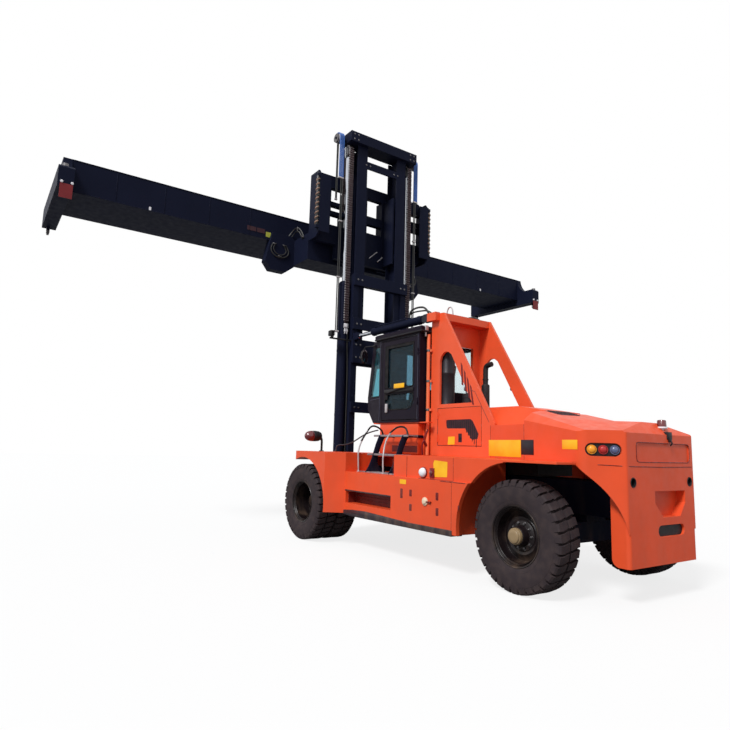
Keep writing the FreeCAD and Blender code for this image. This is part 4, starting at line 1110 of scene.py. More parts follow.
@dataclass
class TailBody:
    """Seams, plates, lamps and vents of the hood and counterweight."""

    seam_z: float = 1.556
    lamp_centre: Point = (-5.505, 0.905, 1.725)

    def plate(self, form: Form, x0: float, x1: float, z0: float, z1: float, lift: float,
              thick: float) -> None:
        """Adds a flat plate on the left flared side.

        Args:
            form: the form that takes it.
            x0: its front edge.
            x1: its rear edge.
            z0: its lower edge.
            z1: its upper edge.
            lift: its gap from the surface.
            thick: its thickness.
        """
        corners = [at(x0, flare(x0, lift), z0), at(x1, flare(x1, lift), z0), at(x1, flare(x1, lift), z1),
                   at(x0, flare(x0, lift), z1)]
        normal = Vector((SHOULDER[1] - FLARE_FRONT[1], FLARE_FRONT[0] - SHOULDER[0], 0.0))
        form.sheet(corners, normal, thick, 0.001)

    def labels(self) -> None:
        """Builds the blank plates on both flared sides."""
        form = Form()
        self.plate(form, -3.490, -4.235, 1.600, 1.828, 0.0005, 0.003)
        self.plate(form, -5.030, -5.285, 1.720, 1.830, 0.0005, 0.002)
        form.mirror_copy().piece("side_plates_yellow", YELLOW)
        form = Form()
        self.plate(form, -4.242, -4.500, 1.637, 1.830, 0.0005, 0.003)
        form.mirror_copy().piece("side_plates_black", BLACK_LABEL)

    def lamps(self) -> None:
        """Builds the pill-shaped lamp clusters on the corner facets."""
        x, y, z = self.lamp_centre
        along = Vector((-1.0, -1.0, 0.0)).normalized()
        out = Vector((-1.0, 1.0, 0.0)).normalized()
        centre = at(x, y, z)
        form = Form()
        outline = []
        for end, first in ((1, -90), (-1, 90)):
            for step in range(9):
                turn = math.radians(first + step * 22.5)
                outline.append(centre + along * (end * 0.122 + 0.071 * math.cos(turn))
                               + Vector((0, 0, 0.071 * math.sin(turn))) - out * 0.028)
        form.sheet(outline, out, 0.006)
        form.mirror_copy().piece("rear_lamp_trays", PLASTIC)
        for index, (name, finish) in enumerate((("amber", AMBER_LENS), ("red", RED_LENS),
                                                ("clear", CLEAR_LENS))):
            place = centre + along * (index - 1) * 0.124
            form = Form()
            form.lathe([(0.0, 0.020), (0.022, 0.018), (0.036, 0.010), (0.043, -0.004), (0.044, -0.024)],
                       place, out, 32)
            form.lathe([(0.045, -0.024), (0.045, 0.000), (0.052, 0.000), (0.054, -0.024)], place, out, 32)
            stands_for = ("rear_lamps",) if index == 0 else ()
            form.mirror_copy().piece("rear_lamps_" + name, finish, stands_for=stands_for)

    def seams(self) -> None:
        """Builds the dark joint lines round the tail and over the hood."""
        form = Form()
        lift = 0.0005
        side = [at(-4.30, flare(-4.30, lift), self.seam_z), at(SHOULDER[0] + 0.13,
                                                               flare(SHOULDER[0] + 0.13, lift), self.seam_z)]
        form.tube(side, 0.004, smooth=False)
        facet = [at(-5.46, 0.952, self.seam_z - 0.002), at(-5.645, 0.767, self.seam_z - 0.008)]
        form.tube(facet, 0.004, smooth=False)
        form.tube([at(TAIL[0] - lift, TAIL[1] - 0.045, self.seam_z - 0.010),
                   at(TAIL[0] - lift, 0.0, self.seam_z - 0.016)], 0.004, smooth=False)
        for x in (-4.302, -3.531):
            form.tube([at(x, flare(x, lift), 1.575), at(x, flare(x, lift), 2.035)], 0.0025, smooth=False)
        form.mirror_copy().piece("tail_seams", UNDER_RED)

    def rear(self) -> None:
        """Builds what sits on the rear face: dark sheets of painted shade in the tow holes, a latch, a bare
        badge frame and the beacon.
        """
        form = Form()
        # Dark cups in the round holes and a dark plate in the pill slot: painted shade inside the openings.
        for sign in (1, -1):
            form.lathe([(0.058, 0.003), (0.056, 0.006), (0.047, 0.006), (0.046, -0.17), (0.0, -0.17)],
                       at(TAIL[0], sign * 0.62, 1.365), REAR, 32)
        slot = rounded([(0.130, 0.735), (-0.450, 0.735), (-0.450, 0.866), (0.130, 0.866)], 0.060, 8)
        form.prism([(y * 0.985 - 0.002, z) for y, z in slot], Axis.X, TAIL[0] + 0.105, TAIL[0] + 0.030)
        form.piece("tow_hole_shade", PLASTIC)
        form = Form()
        form.block(at(-5.690, -0.245, 1.872), at(-5.640, -0.135, 1.965), 0.006)
        form.block(at(-5.700, -0.215, 1.840), at(-5.670, -0.165, 1.900), 0.004)
        form.tube([at(-5.692, -0.190, 1.860), at(-5.712, -0.190, 1.845), at(-5.712, -0.190, 1.815),
                   at(-5.692, -0.190, 1.800)], 0.009)
        form.piece("rear_latch", PLASTIC)
        form = Form()
        border = rounded([(-0.645, 1.597), (0.535, 1.597), (0.535, 1.823), (-0.645, 1.823)], 0.060, 8)
        line = [at(TAIL[0], y, z) for y, z in border]
        form.tube(line + line[:1], 0.005, 8, smooth=False)
        form.piece("badge_frame", UNDER_RED)
        form = Form()
        base = at(-5.600, -0.180, 1.985)
        form.lathe([(0.0, 0.044), (0.060, 0.044), (0.064, 0.040), (0.064, 0.026), (0.030, 0.022),
                    (0.024, 0.0)], base, UP, 32)
        form.piece("beacon_base", WHITE)
        form = Form()
        form.lathe([(0.0, 0.132), (0.030, 0.131), (0.046, 0.126), (0.052, 0.116), (0.056, 0.044),
                    (0.0, 0.043)], base, UP, 32)
        form.piece("beacon_lens", DARK_RED_LENS, stands_for=("beacon",))

    def vents(self) -> None:
        """Builds the dark vent, handle and label of each service door, with the joint line round it."""
        vent = rounded([(-2.486, 2.146), (-3.037, 2.149), (-3.090, 2.110), (-3.212, 1.918), (-3.200, 1.843),
                        (-3.062, 1.827), (-2.985, 1.930), (-2.918, 2.000), (-2.500, 2.004)], 0.050)
        edge = [(-2.284, 1.734), (-2.284, 2.336), (-3.266, 2.336), (-3.266, 1.734)]
        for side, sign in SIDES:
            form = Form()
            form.prism(vent, Axis.Y, sign * 0.5480, sign * 0.5562)
            form.prism(rounded([(-2.762, 1.780), (-2.858, 1.780), (-2.858, 1.932), (-2.762, 1.932)], 0.040),
                       Axis.Y, sign * 0.5455, sign * 0.5560)
            form.piece("door_vent_" + side, VENT_BLACK, "service_door_" + side)
            form = Form()
            for index in range(16):
                x = -2.530 - 0.042 * index
                low, high = 2.016, 2.136
                if x < -2.930:
                    low, high = 1.97 + 1.05 * (x + 2.92), 2.140 + 1.35 * min(0.0, x + 3.04)
                form.block(at(x - 0.008, sign * 0.5545, low), at(x + 0.008, sign * 0.5580, high), 0.001, 1)
            form.rod(at(-2.810, sign * 0.548, 1.856), at(-2.810, sign * 0.5595, 1.856), 0.030, edge=0.003)
            form.piece("door_vent_bars_" + side, PLASTIC, "service_door_" + side)
            form = Form()
            label = rounded([(-2.530, 1.750), (-2.690, 1.755), (-2.690, 1.880), (-2.545, 1.875)], 0.010)
            form.prism(label, Axis.Y, sign * 0.5575, sign * 0.5595)
            form.piece("door_label_" + side, YELLOW, "service_door_" + side)
            form = Form()
            line = [at(x, sign * 0.5572, z) for x, z in edge]
            form.tube(line + line[:1], 0.0035, 8, smooth=False)
            form.piece("door_joint_" + side, UNDER_RED)

    def crest_vent(self) -> None:
        """Builds the dark slatted vent on the slope behind the hood's crest."""
        form = Form()

        def slope(x: float, y: float, lift: float = 0.0) -> Vector:
            """Finds a point on the slope of the counterweight's top.

            Args:
                x: the place along the truck.
                y: the place across it.
                lift: how far above the surface.

            Returns:
                The point.
            """
            return at(x, y, 2.245 + 0.259 * (x + 4.290) + lift)

        corners = [(-4.306, 0.330), (-4.330, 0.400), (-4.400, 0.432), (-4.540, 0.425), (-4.565, 0.380),
                   (-4.520, -0.060), (-4.490, -0.120), (-4.420, -0.130), (-4.306, -0.110)]
        form.sheet([slope(x, y) for x, y in corners], UP, 0.004)
        tilt = Matrix.Rotation(-math.atan(0.259), 3, "Y")
        for index in range(5):
            x = -4.335 - 0.042 * index
            centre = slope(x, 0.140 + 0.004 * index, 0.007)
            half = Vector((0.008, 0.235, 0.005))
            form.block(centre - half, centre + half, 0.002, 1, tilt)
        form.piece("crest_vent", VENT_BLACK)

    def build(self) -> None:
        """Builds everything on the tail."""
        self.labels()
        self.lamps()
        self.seams()
        self.rear()
        self.vents()
        self.crest_vent()


@dataclass
class Gantry:
    """Stripes, pipe clips and lifting loop of the A-frame, with the intake and exhaust behind the cab."""

    plate: float = 0.557
    canister: Point = (-2.305, 0.372, 2.040)
    cleaner: Point = (-2.600, 0.150, 2.330)
    exhaust: Pair = (-2.400, -0.430)
    pipe: Pair = (-2.075, 0.594)

    def behind_cab(self) -> None:
        """Builds the tall intake canister, the pre-cleaner and the curled hose behind the cab."""
        form = Form()
        form.lathe([(0.0, 1.385), (0.050, 1.380), (0.092, 1.358), (0.117, 1.320), (0.124, 1.275),
                    (0.124, 0.900), (0.127, 0.895), (0.127, 0.875), (0.124, 0.870), (0.124, 0.340),
                    (0.127, 0.335), (0.127, 0.315), (0.124, 0.310), (0.124, 0.020), (0.132, 0.016),
                    (0.132, 0.0), (0.0, 0.0)], at(*self.canister), UP, 40)
        form.piece("intake_canister", CAN_GREY)
        form = Form()
        for z in (2.36, 2.92):
            form.block(at(-2.185, 0.300, z), at(-2.168, 0.444, z + 0.040), 0.003)
            form.bolt(at(-2.2, 0.497, z + 0.02), LEFT, 0.010, 0.008)
        form.piece("canister_brackets", STEEL)
        foot = at(*self.cleaner)
        form = Form()
        form.lathe([(0.0, 0.395), (0.030, 0.395), (0.036, 0.385), (0.040, 0.372), (0.088, 0.366),
                    (0.090, 0.356), (0.090, 0.318), (0.084, 0.310), (0.056, 0.304), (0.052, 0.262),
                    (0.100, 0.258), (0.118, 0.246), (0.121, 0.232), (0.121, 0.0)], foot, UP, 40)
        for z in (0.060, 0.180):
            form.lathe([(0.1205, z), (0.125, z + 0.004), (0.125, z + 0.016), (0.1205, z + 0.020)], foot, UP,
                       40)
        form.piece("air_cleaner_can", CAN_GREY, stands_for=("air_cleaner",))
        form = Form()
        form.lathe([(0.091, 0.322), (0.093, 0.328), (0.093, 0.350), (0.091, 0.356)], foot, UP, 40)
        form.lathe([(0.053, 0.265), (0.062, 0.268), (0.062, 0.298), (0.057, 0.302)], foot, UP, 40)
        form.piece("air_cleaner_bands", BRIGHT_CAN)
        form = Form()
        form.tube([at(-2.104, 0.610, 1.99), at(-2.090, 0.640, 1.93), at(-2.070, 0.665, 1.85),
                   at(-2.060, 0.650, 1.77), at(-2.075, 0.620, 1.71), at(-2.100, 0.640, 1.75),
                   at(-2.095, 0.680, 1.82), at(-2.070, 0.700, 1.75), at(-2.060, 0.690, 1.64),
                   at(-2.055, 0.680, 1.575)], 0.013)
        form.piece("curled_hose", LABEL_RED)

    def stack(self) -> None:
        """Builds the exhaust: a muffler on a bent tail pipe, with a clamp ring."""
        x, y = self.exhaust
        form = Form()
        form.tube([at(x, y, 2.05), at(x, y, 2.60), at(x, y, 3.02), at(-2.405, y, 3.10),
                   at(-2.440, y, 3.140), at(-2.545, y, 3.150)], 0.045, 20)
        form.lathe([(0.045, -0.012), (0.064, 0.0), (0.069, 0.012), (0.069, 0.488), (0.064, 0.500),
                    (0.045, 0.512)], at(x, y, 2.300), UP, 40)
        form.lathe([(0.0455, 0.0), (0.052, 0.002), (0.052, 0.022), (0.0455, 0.024)], at(x, y, 2.880), UP, 32)
        form.piece("exhaust_pipe", CAST, stands_for=("exhaust_stack",))

    def build(self) -> None:
        """Builds the gantry's fittings."""
        form = Form()
        for index in range(4):
            top = Vector((-2.818 - 0.066 * index, 3.050 - 0.118 * index))
            foot = top + Vector((-0.020 - 0.012 * index, -0.360 + 0.012 * index))
            stripe = [(top.x, top.y), (top.x - 0.040, top.y - 0.060), (foot.x - 0.040, foot.y - 0.020),
                      (foot.x, foot.y)]
            form.sheet([at(x, self.plate, z) for x, z in stripe], LEFT, 0.0015)
        form.mirror_copy().piece("gantry_stripes", STRIPE_RED)
        form = Form()
        for z in (2.320, 2.800, 3.320):
            form.lathe([(0.0305, -0.018), (0.037, -0.018), (0.037, 0.018), (0.0305, 0.018)],
                       at(*self.pipe, z), UP, 24)
            form.bolt(at(-2.075, 0.630, z), LEFT, 0.012)
        form.piece("pipe_clips", STEEL)
        form = Form()
        form.block(at(-2.112, 0.628, 3.655), at(-2.045, 0.700, 3.745), 0.010)
        form.rod(at(-2.078, 0.664, 3.560), at(-2.078, 0.664, 3.655), 0.016, edge=0.002)
        form.piece("hose_clamp_block", LIGHT_TUBE)
        form = Form()
        form.tube([at(-2.20, 0.30, 3.935), at(-2.205, 0.30, 4.02), at(-2.235, 0.30, 4.075),
                   at(-2.275, 0.30, 4.090), at(-2.315, 0.30, 4.075), at(-2.345, 0.30, 4.02),
                   at(-2.350, 0.30, 3.935)], 0.011)
        form.piece("lifting_loop", LIGHT_TUBE)
        form = Form()
        form.tube([at(-3.030, self.plate, 2.600), at(-3.130, self.plate, 2.560),
                   at(-3.420, self.plate, 2.090)], 0.004, smooth=False)
        form.mirror_copy().piece("gantry_seams", UNDER_RED)
        self.behind_cab()
        self.stack()


@dataclass
class Steps:
    """Perforated treads on curved supports, hoops and tube handrails."""

    span: Pair = (-2.100, -1.150)
    plates: Pair = (-1.985, -1.325)
    treads: tuple[Pair, ...] = ((1.300, 1.270), (1.160, 1.570), (1.030, 1.890))
    depth: float = 0.210

    def supports(self) -> None:
        """Builds the side plates: slim bars above, flared feet below."""
        form = Form()
        outline = [(0.600, 1.850), (0.600, 1.896), (1.036, 1.896), (1.110, 1.735), (1.168, 1.560),
                   (1.215, 1.430), (1.270, 1.320), (1.330, 1.252), (0.880, 1.252), (0.980, 1.295),
                   (1.060, 1.370), (1.072, 1.450), (1.056, 1.555), (1.010, 1.690), (0.930, 1.850)]
        for x, inward in ((self.plates[0], 0.016), (self.plates[1], -0.016)):
            form.prism(rounded(outline, 0.040, 3), Axis.X, x, x + inward, 0.002)
        form.mirror_copy().piece("step_supports", NAVY, stands_for=("cab_steps",))

    def rails(self) -> None:
        """Builds two cane-shaped rails on each side, with dark grips, and the conduit to the mast."""
        first = [(-1.022, 1.245, 1.252), (-1.022, 1.258, 1.450), (-1.022, 1.264, 1.610),
                 (-1.022, 1.205, 1.775), (-1.022, 1.075, 1.965), (-1.022, 0.990, 2.052),
                 (-1.022, 0.880, 2.040), (-1.022, 0.780, 1.990), (-1.022, 0.742, 1.920),
                 (-1.022, 0.735, 1.850)]
        second = [(-1.820, 1.300, 1.262), (-1.812, 1.305, 1.420), (-1.805, 1.296, 1.560),
                  (-1.740, 1.215, 1.760), (-1.660, 1.060, 1.915), (-1.620, 0.930, 2.000),
                  (-1.665, 0.860, 2.036), (-1.780, 0.850, 2.024), (-1.855, 0.850, 1.975),
                  (-1.875, 0.850, 1.885)]
        form = Form()
        form.tube([at(*place) for place in first[:5]], 0.014)
        form.tube([at(*place) for place in second[:6]], 0.013)
        for x, y in ((-1.022, 1.245), (-1.820, 1.300)):
            form.rod(at(x, y, 1.252), at(x, y, 1.262), 0.032, edge=0.002)
        form.mirror_copy().piece("step_handrails", LIGHT_TUBE)
        form = Form()
        form.tube([at(*place) for place in first[3:]], 0.016)
        form.tube([at(*place) for place in second[4:]], 0.016)
        form.mirror_copy().piece("handrail_grips", PLASTIC)
        form = Form()
        form.tube([at(0.120, 1.020, 1.572), at(0.120, 1.015, 1.650), at(0.080, 0.995, 1.700),
                   at(-0.080, 0.945, 1.700), at(-0.250, 0.880, 1.750), at(-0.480, 0.800, 1.890),
                   at(-0.660, 0.735, 1.960), at(-0.800, 0.690, 1.985)], 0.012)
        form.rod(at(0.120, 1.020, 1.570), at(0.120, 1.020, 1.600), 0.022, edge=0.003)
        form.piece("mast_conduit", TRAY_BLACK)

    def build(self) -> None:
        """Builds the steps of both sides."""
        self.supports()
        form = Form()
        for y, z in self.treads:
            low, high = self.span
            back = y - self.depth
            form.block(at(low, y - 0.016, z - 0.034), at(high, y + 0.001, z), 0.004)
            form.block(at(low, back, z - 0.034), at(high, back + 0.012, z), 0.004)
            for index in range(10):
                x = low + 0.012 + index * (high - low - 0.034) / 9
                form.block(at(x, back, z - 0.020), at(x + 0.010, y - 0.008, z - 0.002), 0.001, 1)
            for index in range(1, 6):
                line = back + index * self.depth / 6
                form.block(at(low, line - 0.005, z - 0.012), at(high, line + 0.005, z - 0.001), 0.001, 1)
        form.mirror_copy().piece("step_treads", STEP_GREY)
        self.rails()


@dataclass
class FenderLamps:
    """A side lamp on a bent stalk over each front wheel."""

    x: float = 0.014
    y: float = 1.400
    z: float = 1.848

    def build(self) -> None:
        """Builds the lamps of both sides."""
        centre = at(self.x, self.y, self.z)
        form = Form()
        form.lathe([(0.0, 0.016), (0.040, 0.018), (0.072, 0.040), (0.092, 0.085), (0.098, 0.150),
                    (0.098, 0.205), (0.094, 0.212), (0.0, 0.212)], centre, LEFT, 40)
        form.tube([at(self.x, self.y, 1.572), at(self.x, self.y, 1.680), at(self.x, self.y, 1.775),
                   at(self.x, self.y + 0.020, 1.838), at(self.x, self.y + 0.080, 1.850)], 0.021, 16)
        form.rod(at(self.x, self.y, 1.570), at(self.x, self.y, 1.586), 0.045, edge=0.004)
        form.mirror_copy().piece("fender_lamp_housings", PLASTIC, stands_for=("fender_lamps",))
        form = Form()
        form.lathe([(0.096, 0.210), (0.099, 0.216), (0.097, 0.245), (0.086, 0.295), (0.062, 0.336),
                    (0.030, 0.358), (0.0, 0.362)], centre, LEFT, 40)
        form.mirror_copy().piece("fender_lamp_lenses", DARK_RED_LENS)


# Cab
@dataclass
class Cab:
    """Window rubbers, handle, labels, wiper, seat and controls."""

    side: float = 0.752

    def frame_line(self, form: Form, corners: list[Vector], radius: float) -> None:
        """Adds a closed rubber bead along corners."""
        form.tube(corners + corners[:1], radius, 8, smooth=False)

    def door(self) -> None:
        """Builds what is on the left-hand door."""
        form = Form()
        y = self.side + 0.001
        upper = [at(-1.882, y, 2.728), at(-1.068, y, 2.728), at(-1.068, y, 3.492), at(-1.882, y, 3.492)]
        lower = [at(-1.882, y, 2.612), at(-1.068, y, 2.612), at(-1.068, y, 2.500), at(-1.120, y, 2.390),
                 at(-1.230, y, 2.338), at(-1.720, y, 2.338), at(-1.830, y, 2.390), at(-1.882, y, 2.500)]
        self.frame_line(form, upper, 0.009)
        self.frame_line(form, lower, 0.009)
        self.frame_line(form, [at(-1.978, y, 2.166), at(-0.972, y, 2.166), at(-0.972, y, 3.584),
                               at(-1.978, y, 3.584)], 0.006)
        for x0, x1, z0, z1 in ((-1.150, -1.070, 2.730, 3.490), (-1.880, -1.850, 2.730, 3.490),
                               (-1.850, -1.150, 3.440, 3.490), (-1.150, -1.070, 2.520, 2.610)):
            form.block(at(x0, y - 0.010, z0), at(x1, y + 0.003, z1), 0.002, 1)
        form.piece("door_seals", SEAL, "cab_door")
        form = Form()
        form.block(at(-1.890, y - 0.010, 2.640), at(-1.060, y + 0.022, 2.702), 0.010)
        form.tube([at(-1.80, y + 0.01, 2.700), at(-1.66, y + 0.035, 2.715), at(-1.30, y + 0.035, 2.655),
                   at(-1.14, y + 0.01, 2.640)], 0.014)
        form.piece("door_rail", PLASTIC, "cab_door")
        form = Form()
        form.block(at(-1.690, y + 0.046, 2.705), at(-1.400, y + 0.056, 2.785), 0.004)
        form.piece("door_label", YELLOW, "cab_door")
        form = Form()
        form.block(at(-1.170, y - 0.002, 2.290), at(-1.110, y + 0.030, 2.450), 0.010)
        form.piece("door_handle", LIGHT_TUBE, "cab_door")

    def shell(self) -> None:
        """Builds the seals, roof lip and wiper on the cab's shell."""
        form = Form()
        for sign in (1, -1):
            corners = [(-0.880, 0.736), (-0.880, 0.736), (-0.720, 0.714), (-0.545, 0.690)]
            heights = [2.600, 3.520, 3.520, 2.600]
            ring = [at(x, sign * (y + 0.004), z) for (x, y), z in zip(corners, heights)]
            self.frame_line(form, ring, 0.009)
        self.frame_line(form, [at(-0.640, -0.595, 3.495), at(-0.640, 0.595, 3.495),
                               at(-0.430, 0.595, 2.625), at(-0.430, -0.595, 2.625)], 0.009)
        self.frame_line(form, [at(-2.031, -0.555, 2.655), at(-2.031, 0.555, 2.655),
                               at(-2.031, 0.555, 3.445), at(-2.031, -0.555, 3.445)], 0.009)
        self.frame_line(form, [at(-1.895, -0.751, 2.655), at(-1.005, -0.751, 2.655),
                               at(-1.005, -0.751, 3.495), at(-1.895, -0.751, 3.495)], 0.009)
        form.piece("cab_seals", SEAL)
        form = Form()
        form.block(at(-2.112, -0.790, 3.632), at(-0.748, 0.790, 3.662), 0.010, 3)
        form.piece("roof_gutter", PLASTIC)
        form = Form()
        form.tube([at(-0.425, 0.10, 2.640), at(-0.480, 0.18, 2.86), at(-0.530, 0.26, 3.10)], 0.008)
        form.tube([at(-0.455, 0.40, 2.80), at(-0.580, 0.12, 3.36)], 0.006, smooth=False)
        form.rod(at(-0.47, 0.10, 2.63), at(-0.42, 0.10, 2.63), 0.022, edge=0.004)
        form.piece("wiper", PLASTIC)

    def mirror(self) -> None:
        """Builds the oval mirror on its arm."""
        form = Form()
        centre = at(-0.450, 0.812, 3.371)
        oval = Matrix.Translation(centre) @ Matrix.Diagonal((0.026, 0.084, 0.145, 1.0))
        bmesh.ops.create_uvsphere(form.bm, u_segments=32, v_segments=18, radius=1.0, matrix=oval)
        form.tube([at(-0.660, 0.735, 3.560), at(-0.560, 0.775, 3.562), at(-0.450, 0.812, 3.560),
                   at(-0.450, 0.812, 3.500)], 0.011)
        form.rod(at(-0.700, 0.722, 3.56), at(-0.640, 0.738, 3.56), 0.022, edge=0.004)
        form.piece("mirror_head", PLASTIC, stands_for=("mirror",))
        form = Form()
        form.lathe([(0.0, 0.0), (0.070, 0.0), (0.072, -0.002)], at(-0.477, 0.812, 3.371), REAR, 32)
        bmesh.ops.scale(form.bm, vec=(1.0, 1.0, 1.75), verts=form.bm.verts[:],
                        space=Matrix.Translation(-at(-0.477, 0.812, 3.371)))
        form.piece("mirror_glass", MIRROR)

    def cushion(self, name: str, low: Vector, high: Vector, turn: Matrix,
                stands_for: tuple[str, ...]) -> None:
        """Builds one crowned cushion of the seat with pinched edges.

        Args:
            name: the piece's name.
            low: its lowest corner before the turn.
            high: its highest corner before the turn.
            turn: its rotation about its own centre.
            stands_for: CAD nodes that it takes the place of.
        """
        form = Form()
        centre, size = (low + high) / 2, high - low
        form.block(low, high, 0.045, 4, turn)
        bmesh.ops.subdivide_edges(form.bm, edges=form.bm.edges[:], cuts=1, use_grid_fill=True)
        thin = min(range(3), key=lambda axis: size[axis])
        for vert in form.bm.verts:
            local = turn.inverted() @ (vert.co - centre)
            others = [axis for axis in range(3) if axis != thin]
            crown = 1.0
            for axis in others:
                crown *= max(0.0, 1 - (2 * local[axis] / size[axis]) ** 2)
            local[thin] *= 1 + 0.30 * crown
            pinch = 1 - 0.03 * max(0.0, 1 - (2 * local[thin] / size[thin]) ** 2)
            for axis in others:
                local[axis] *= pinch
            vert.co = centre + turn @ local
        made = form.piece(name, CLOTH, stands_for=stands_for, smooth_angle=60.0)
        smooth = made.modifiers.new("smooth", "SUBSURF")
        smooth.levels = smooth.render_levels = 1

    def seat(self) -> None:
        """Builds the driver's seat, its base, levers and steering wheel."""
        level = Matrix.Identity(3)
        back = Matrix.Rotation(math.radians(-13.0), 3, "Y")
        self.cushion("seat_cushion", at(-1.740, -0.250, 2.512), at(-1.260, 0.250, 2.612), level,
                     ("operator_seat",))
        self.cushion("seat_back", at(-1.855, -0.235, 2.660), at(-1.755, 0.235, 3.190), back, ())
        form = Form()
        form.block(at(-1.640, -0.170, 2.166), at(-1.360, 0.170, 2.420), 0.02)
        form.block(at(-1.720, -0.220, 2.420), at(-1.300, 0.220, 2.508), 0.015)
        for sign in (1, -1):
            form.block(at(-1.700, sign * 0.285 - 0.035, 2.690), at(-1.340, sign * 0.285 + 0.035, 2.735),
                       0.015)
            form.block(at(-1.690, sign * 0.285 - 0.020, 2.480), at(-1.640, sign * 0.285 + 0.020, 2.700),
                       0.010)
        form.piece("seat_base", PLASTIC)
        form = Form()
        form.block(at(-1.480, -0.520, 2.166), at(-1.080, -0.360, 2.700), 0.02)
        for index in range(3):
            x = -1.400 + 0.110 * index
            form.tube([at(x, -0.44, 2.69), at(x + 0.01, -0.44, 2.78), at(x - 0.01, -0.44, 2.86)], 0.008)
            form.rod(at(x - 0.012, -0.44, 2.84), at(x - 0.016, -0.44, 2.90), 0.020, edge=0.008)
        form.piece("lever_console", GREY_PLASTIC)

    def corner_panes(self) -> None:
        """Builds the teal film of the tapered corner panes and thin light lines of painted highlight along
        the frame's edges.
        """
        form = Form()
        for sign in (1, -1):
            pane = [at(-0.872, sign * 0.7365, 2.605), at(-0.872, sign * 0.7365, 3.512),
                    at(-0.724, sign * 0.7165, 3.512), at(-0.552, sign * 0.6935, 2.605)]
            form.sheet(pane, Vector((0.12, float(sign), 0.0)), 0.002)
        form.piece("corner_panes", CORNER_GLASS)
        form = Form()
        # Thin light lines on the pillars and under the corner panes: painted highlight along the frame's
        # edges.
        for sign in (1, -1):
            form.tube([at(-0.905, sign * 0.752, 2.155), at(-0.905, sign * 0.752, 3.615)], 0.004, 8,
                      smooth=False)
            form.tube([at(-0.900, sign * 0.745, 2.560), at(-0.530, sign * 0.694, 2.545)], 0.006, 8,
                      smooth=False)
            form.tube([at(-1.990, sign * 0.756, 2.155), at(-1.990, sign * 0.756, 3.615)], 0.004, 8,
                      smooth=False)
        form.piece("cab_edge_highlights", CAB_EDGE_HIGHLIGHT)

    def pedestal(self) -> None:
        """Builds the flat sides of the cab's pedestal, with a dark joint line and a dark-red sheet of painted
        shade in its recess.
        """
        form = Form()
        form.block(at(-1.975, 0.560, 1.574), at(-0.890, 0.718, 2.092), 0.012, 3)
        form.mirror_copy().piece("pedestal_sides", ORANGE)
        form = Form()
        # The tall block is painted shade in the recess; the thin block is a joint line.
        form.block(at(-1.965, 0.716, 1.609), at(-1.275, 0.7205, 1.718), 0.002, 1)
        form.block(at(-1.970, 0.716, 1.874), at(-1.160, 0.7200, 1.880), 0.001, 1)
        form.mirror_copy().piece("pedestal_recess_shade_and_joint", UNDER_RED)

    def build(self) -> None:
        """Builds the whole cab."""
        self.door()
        self.shell()
        self.pedestal()
        self.corner_panes()
        self.mirror()
        self.seat()


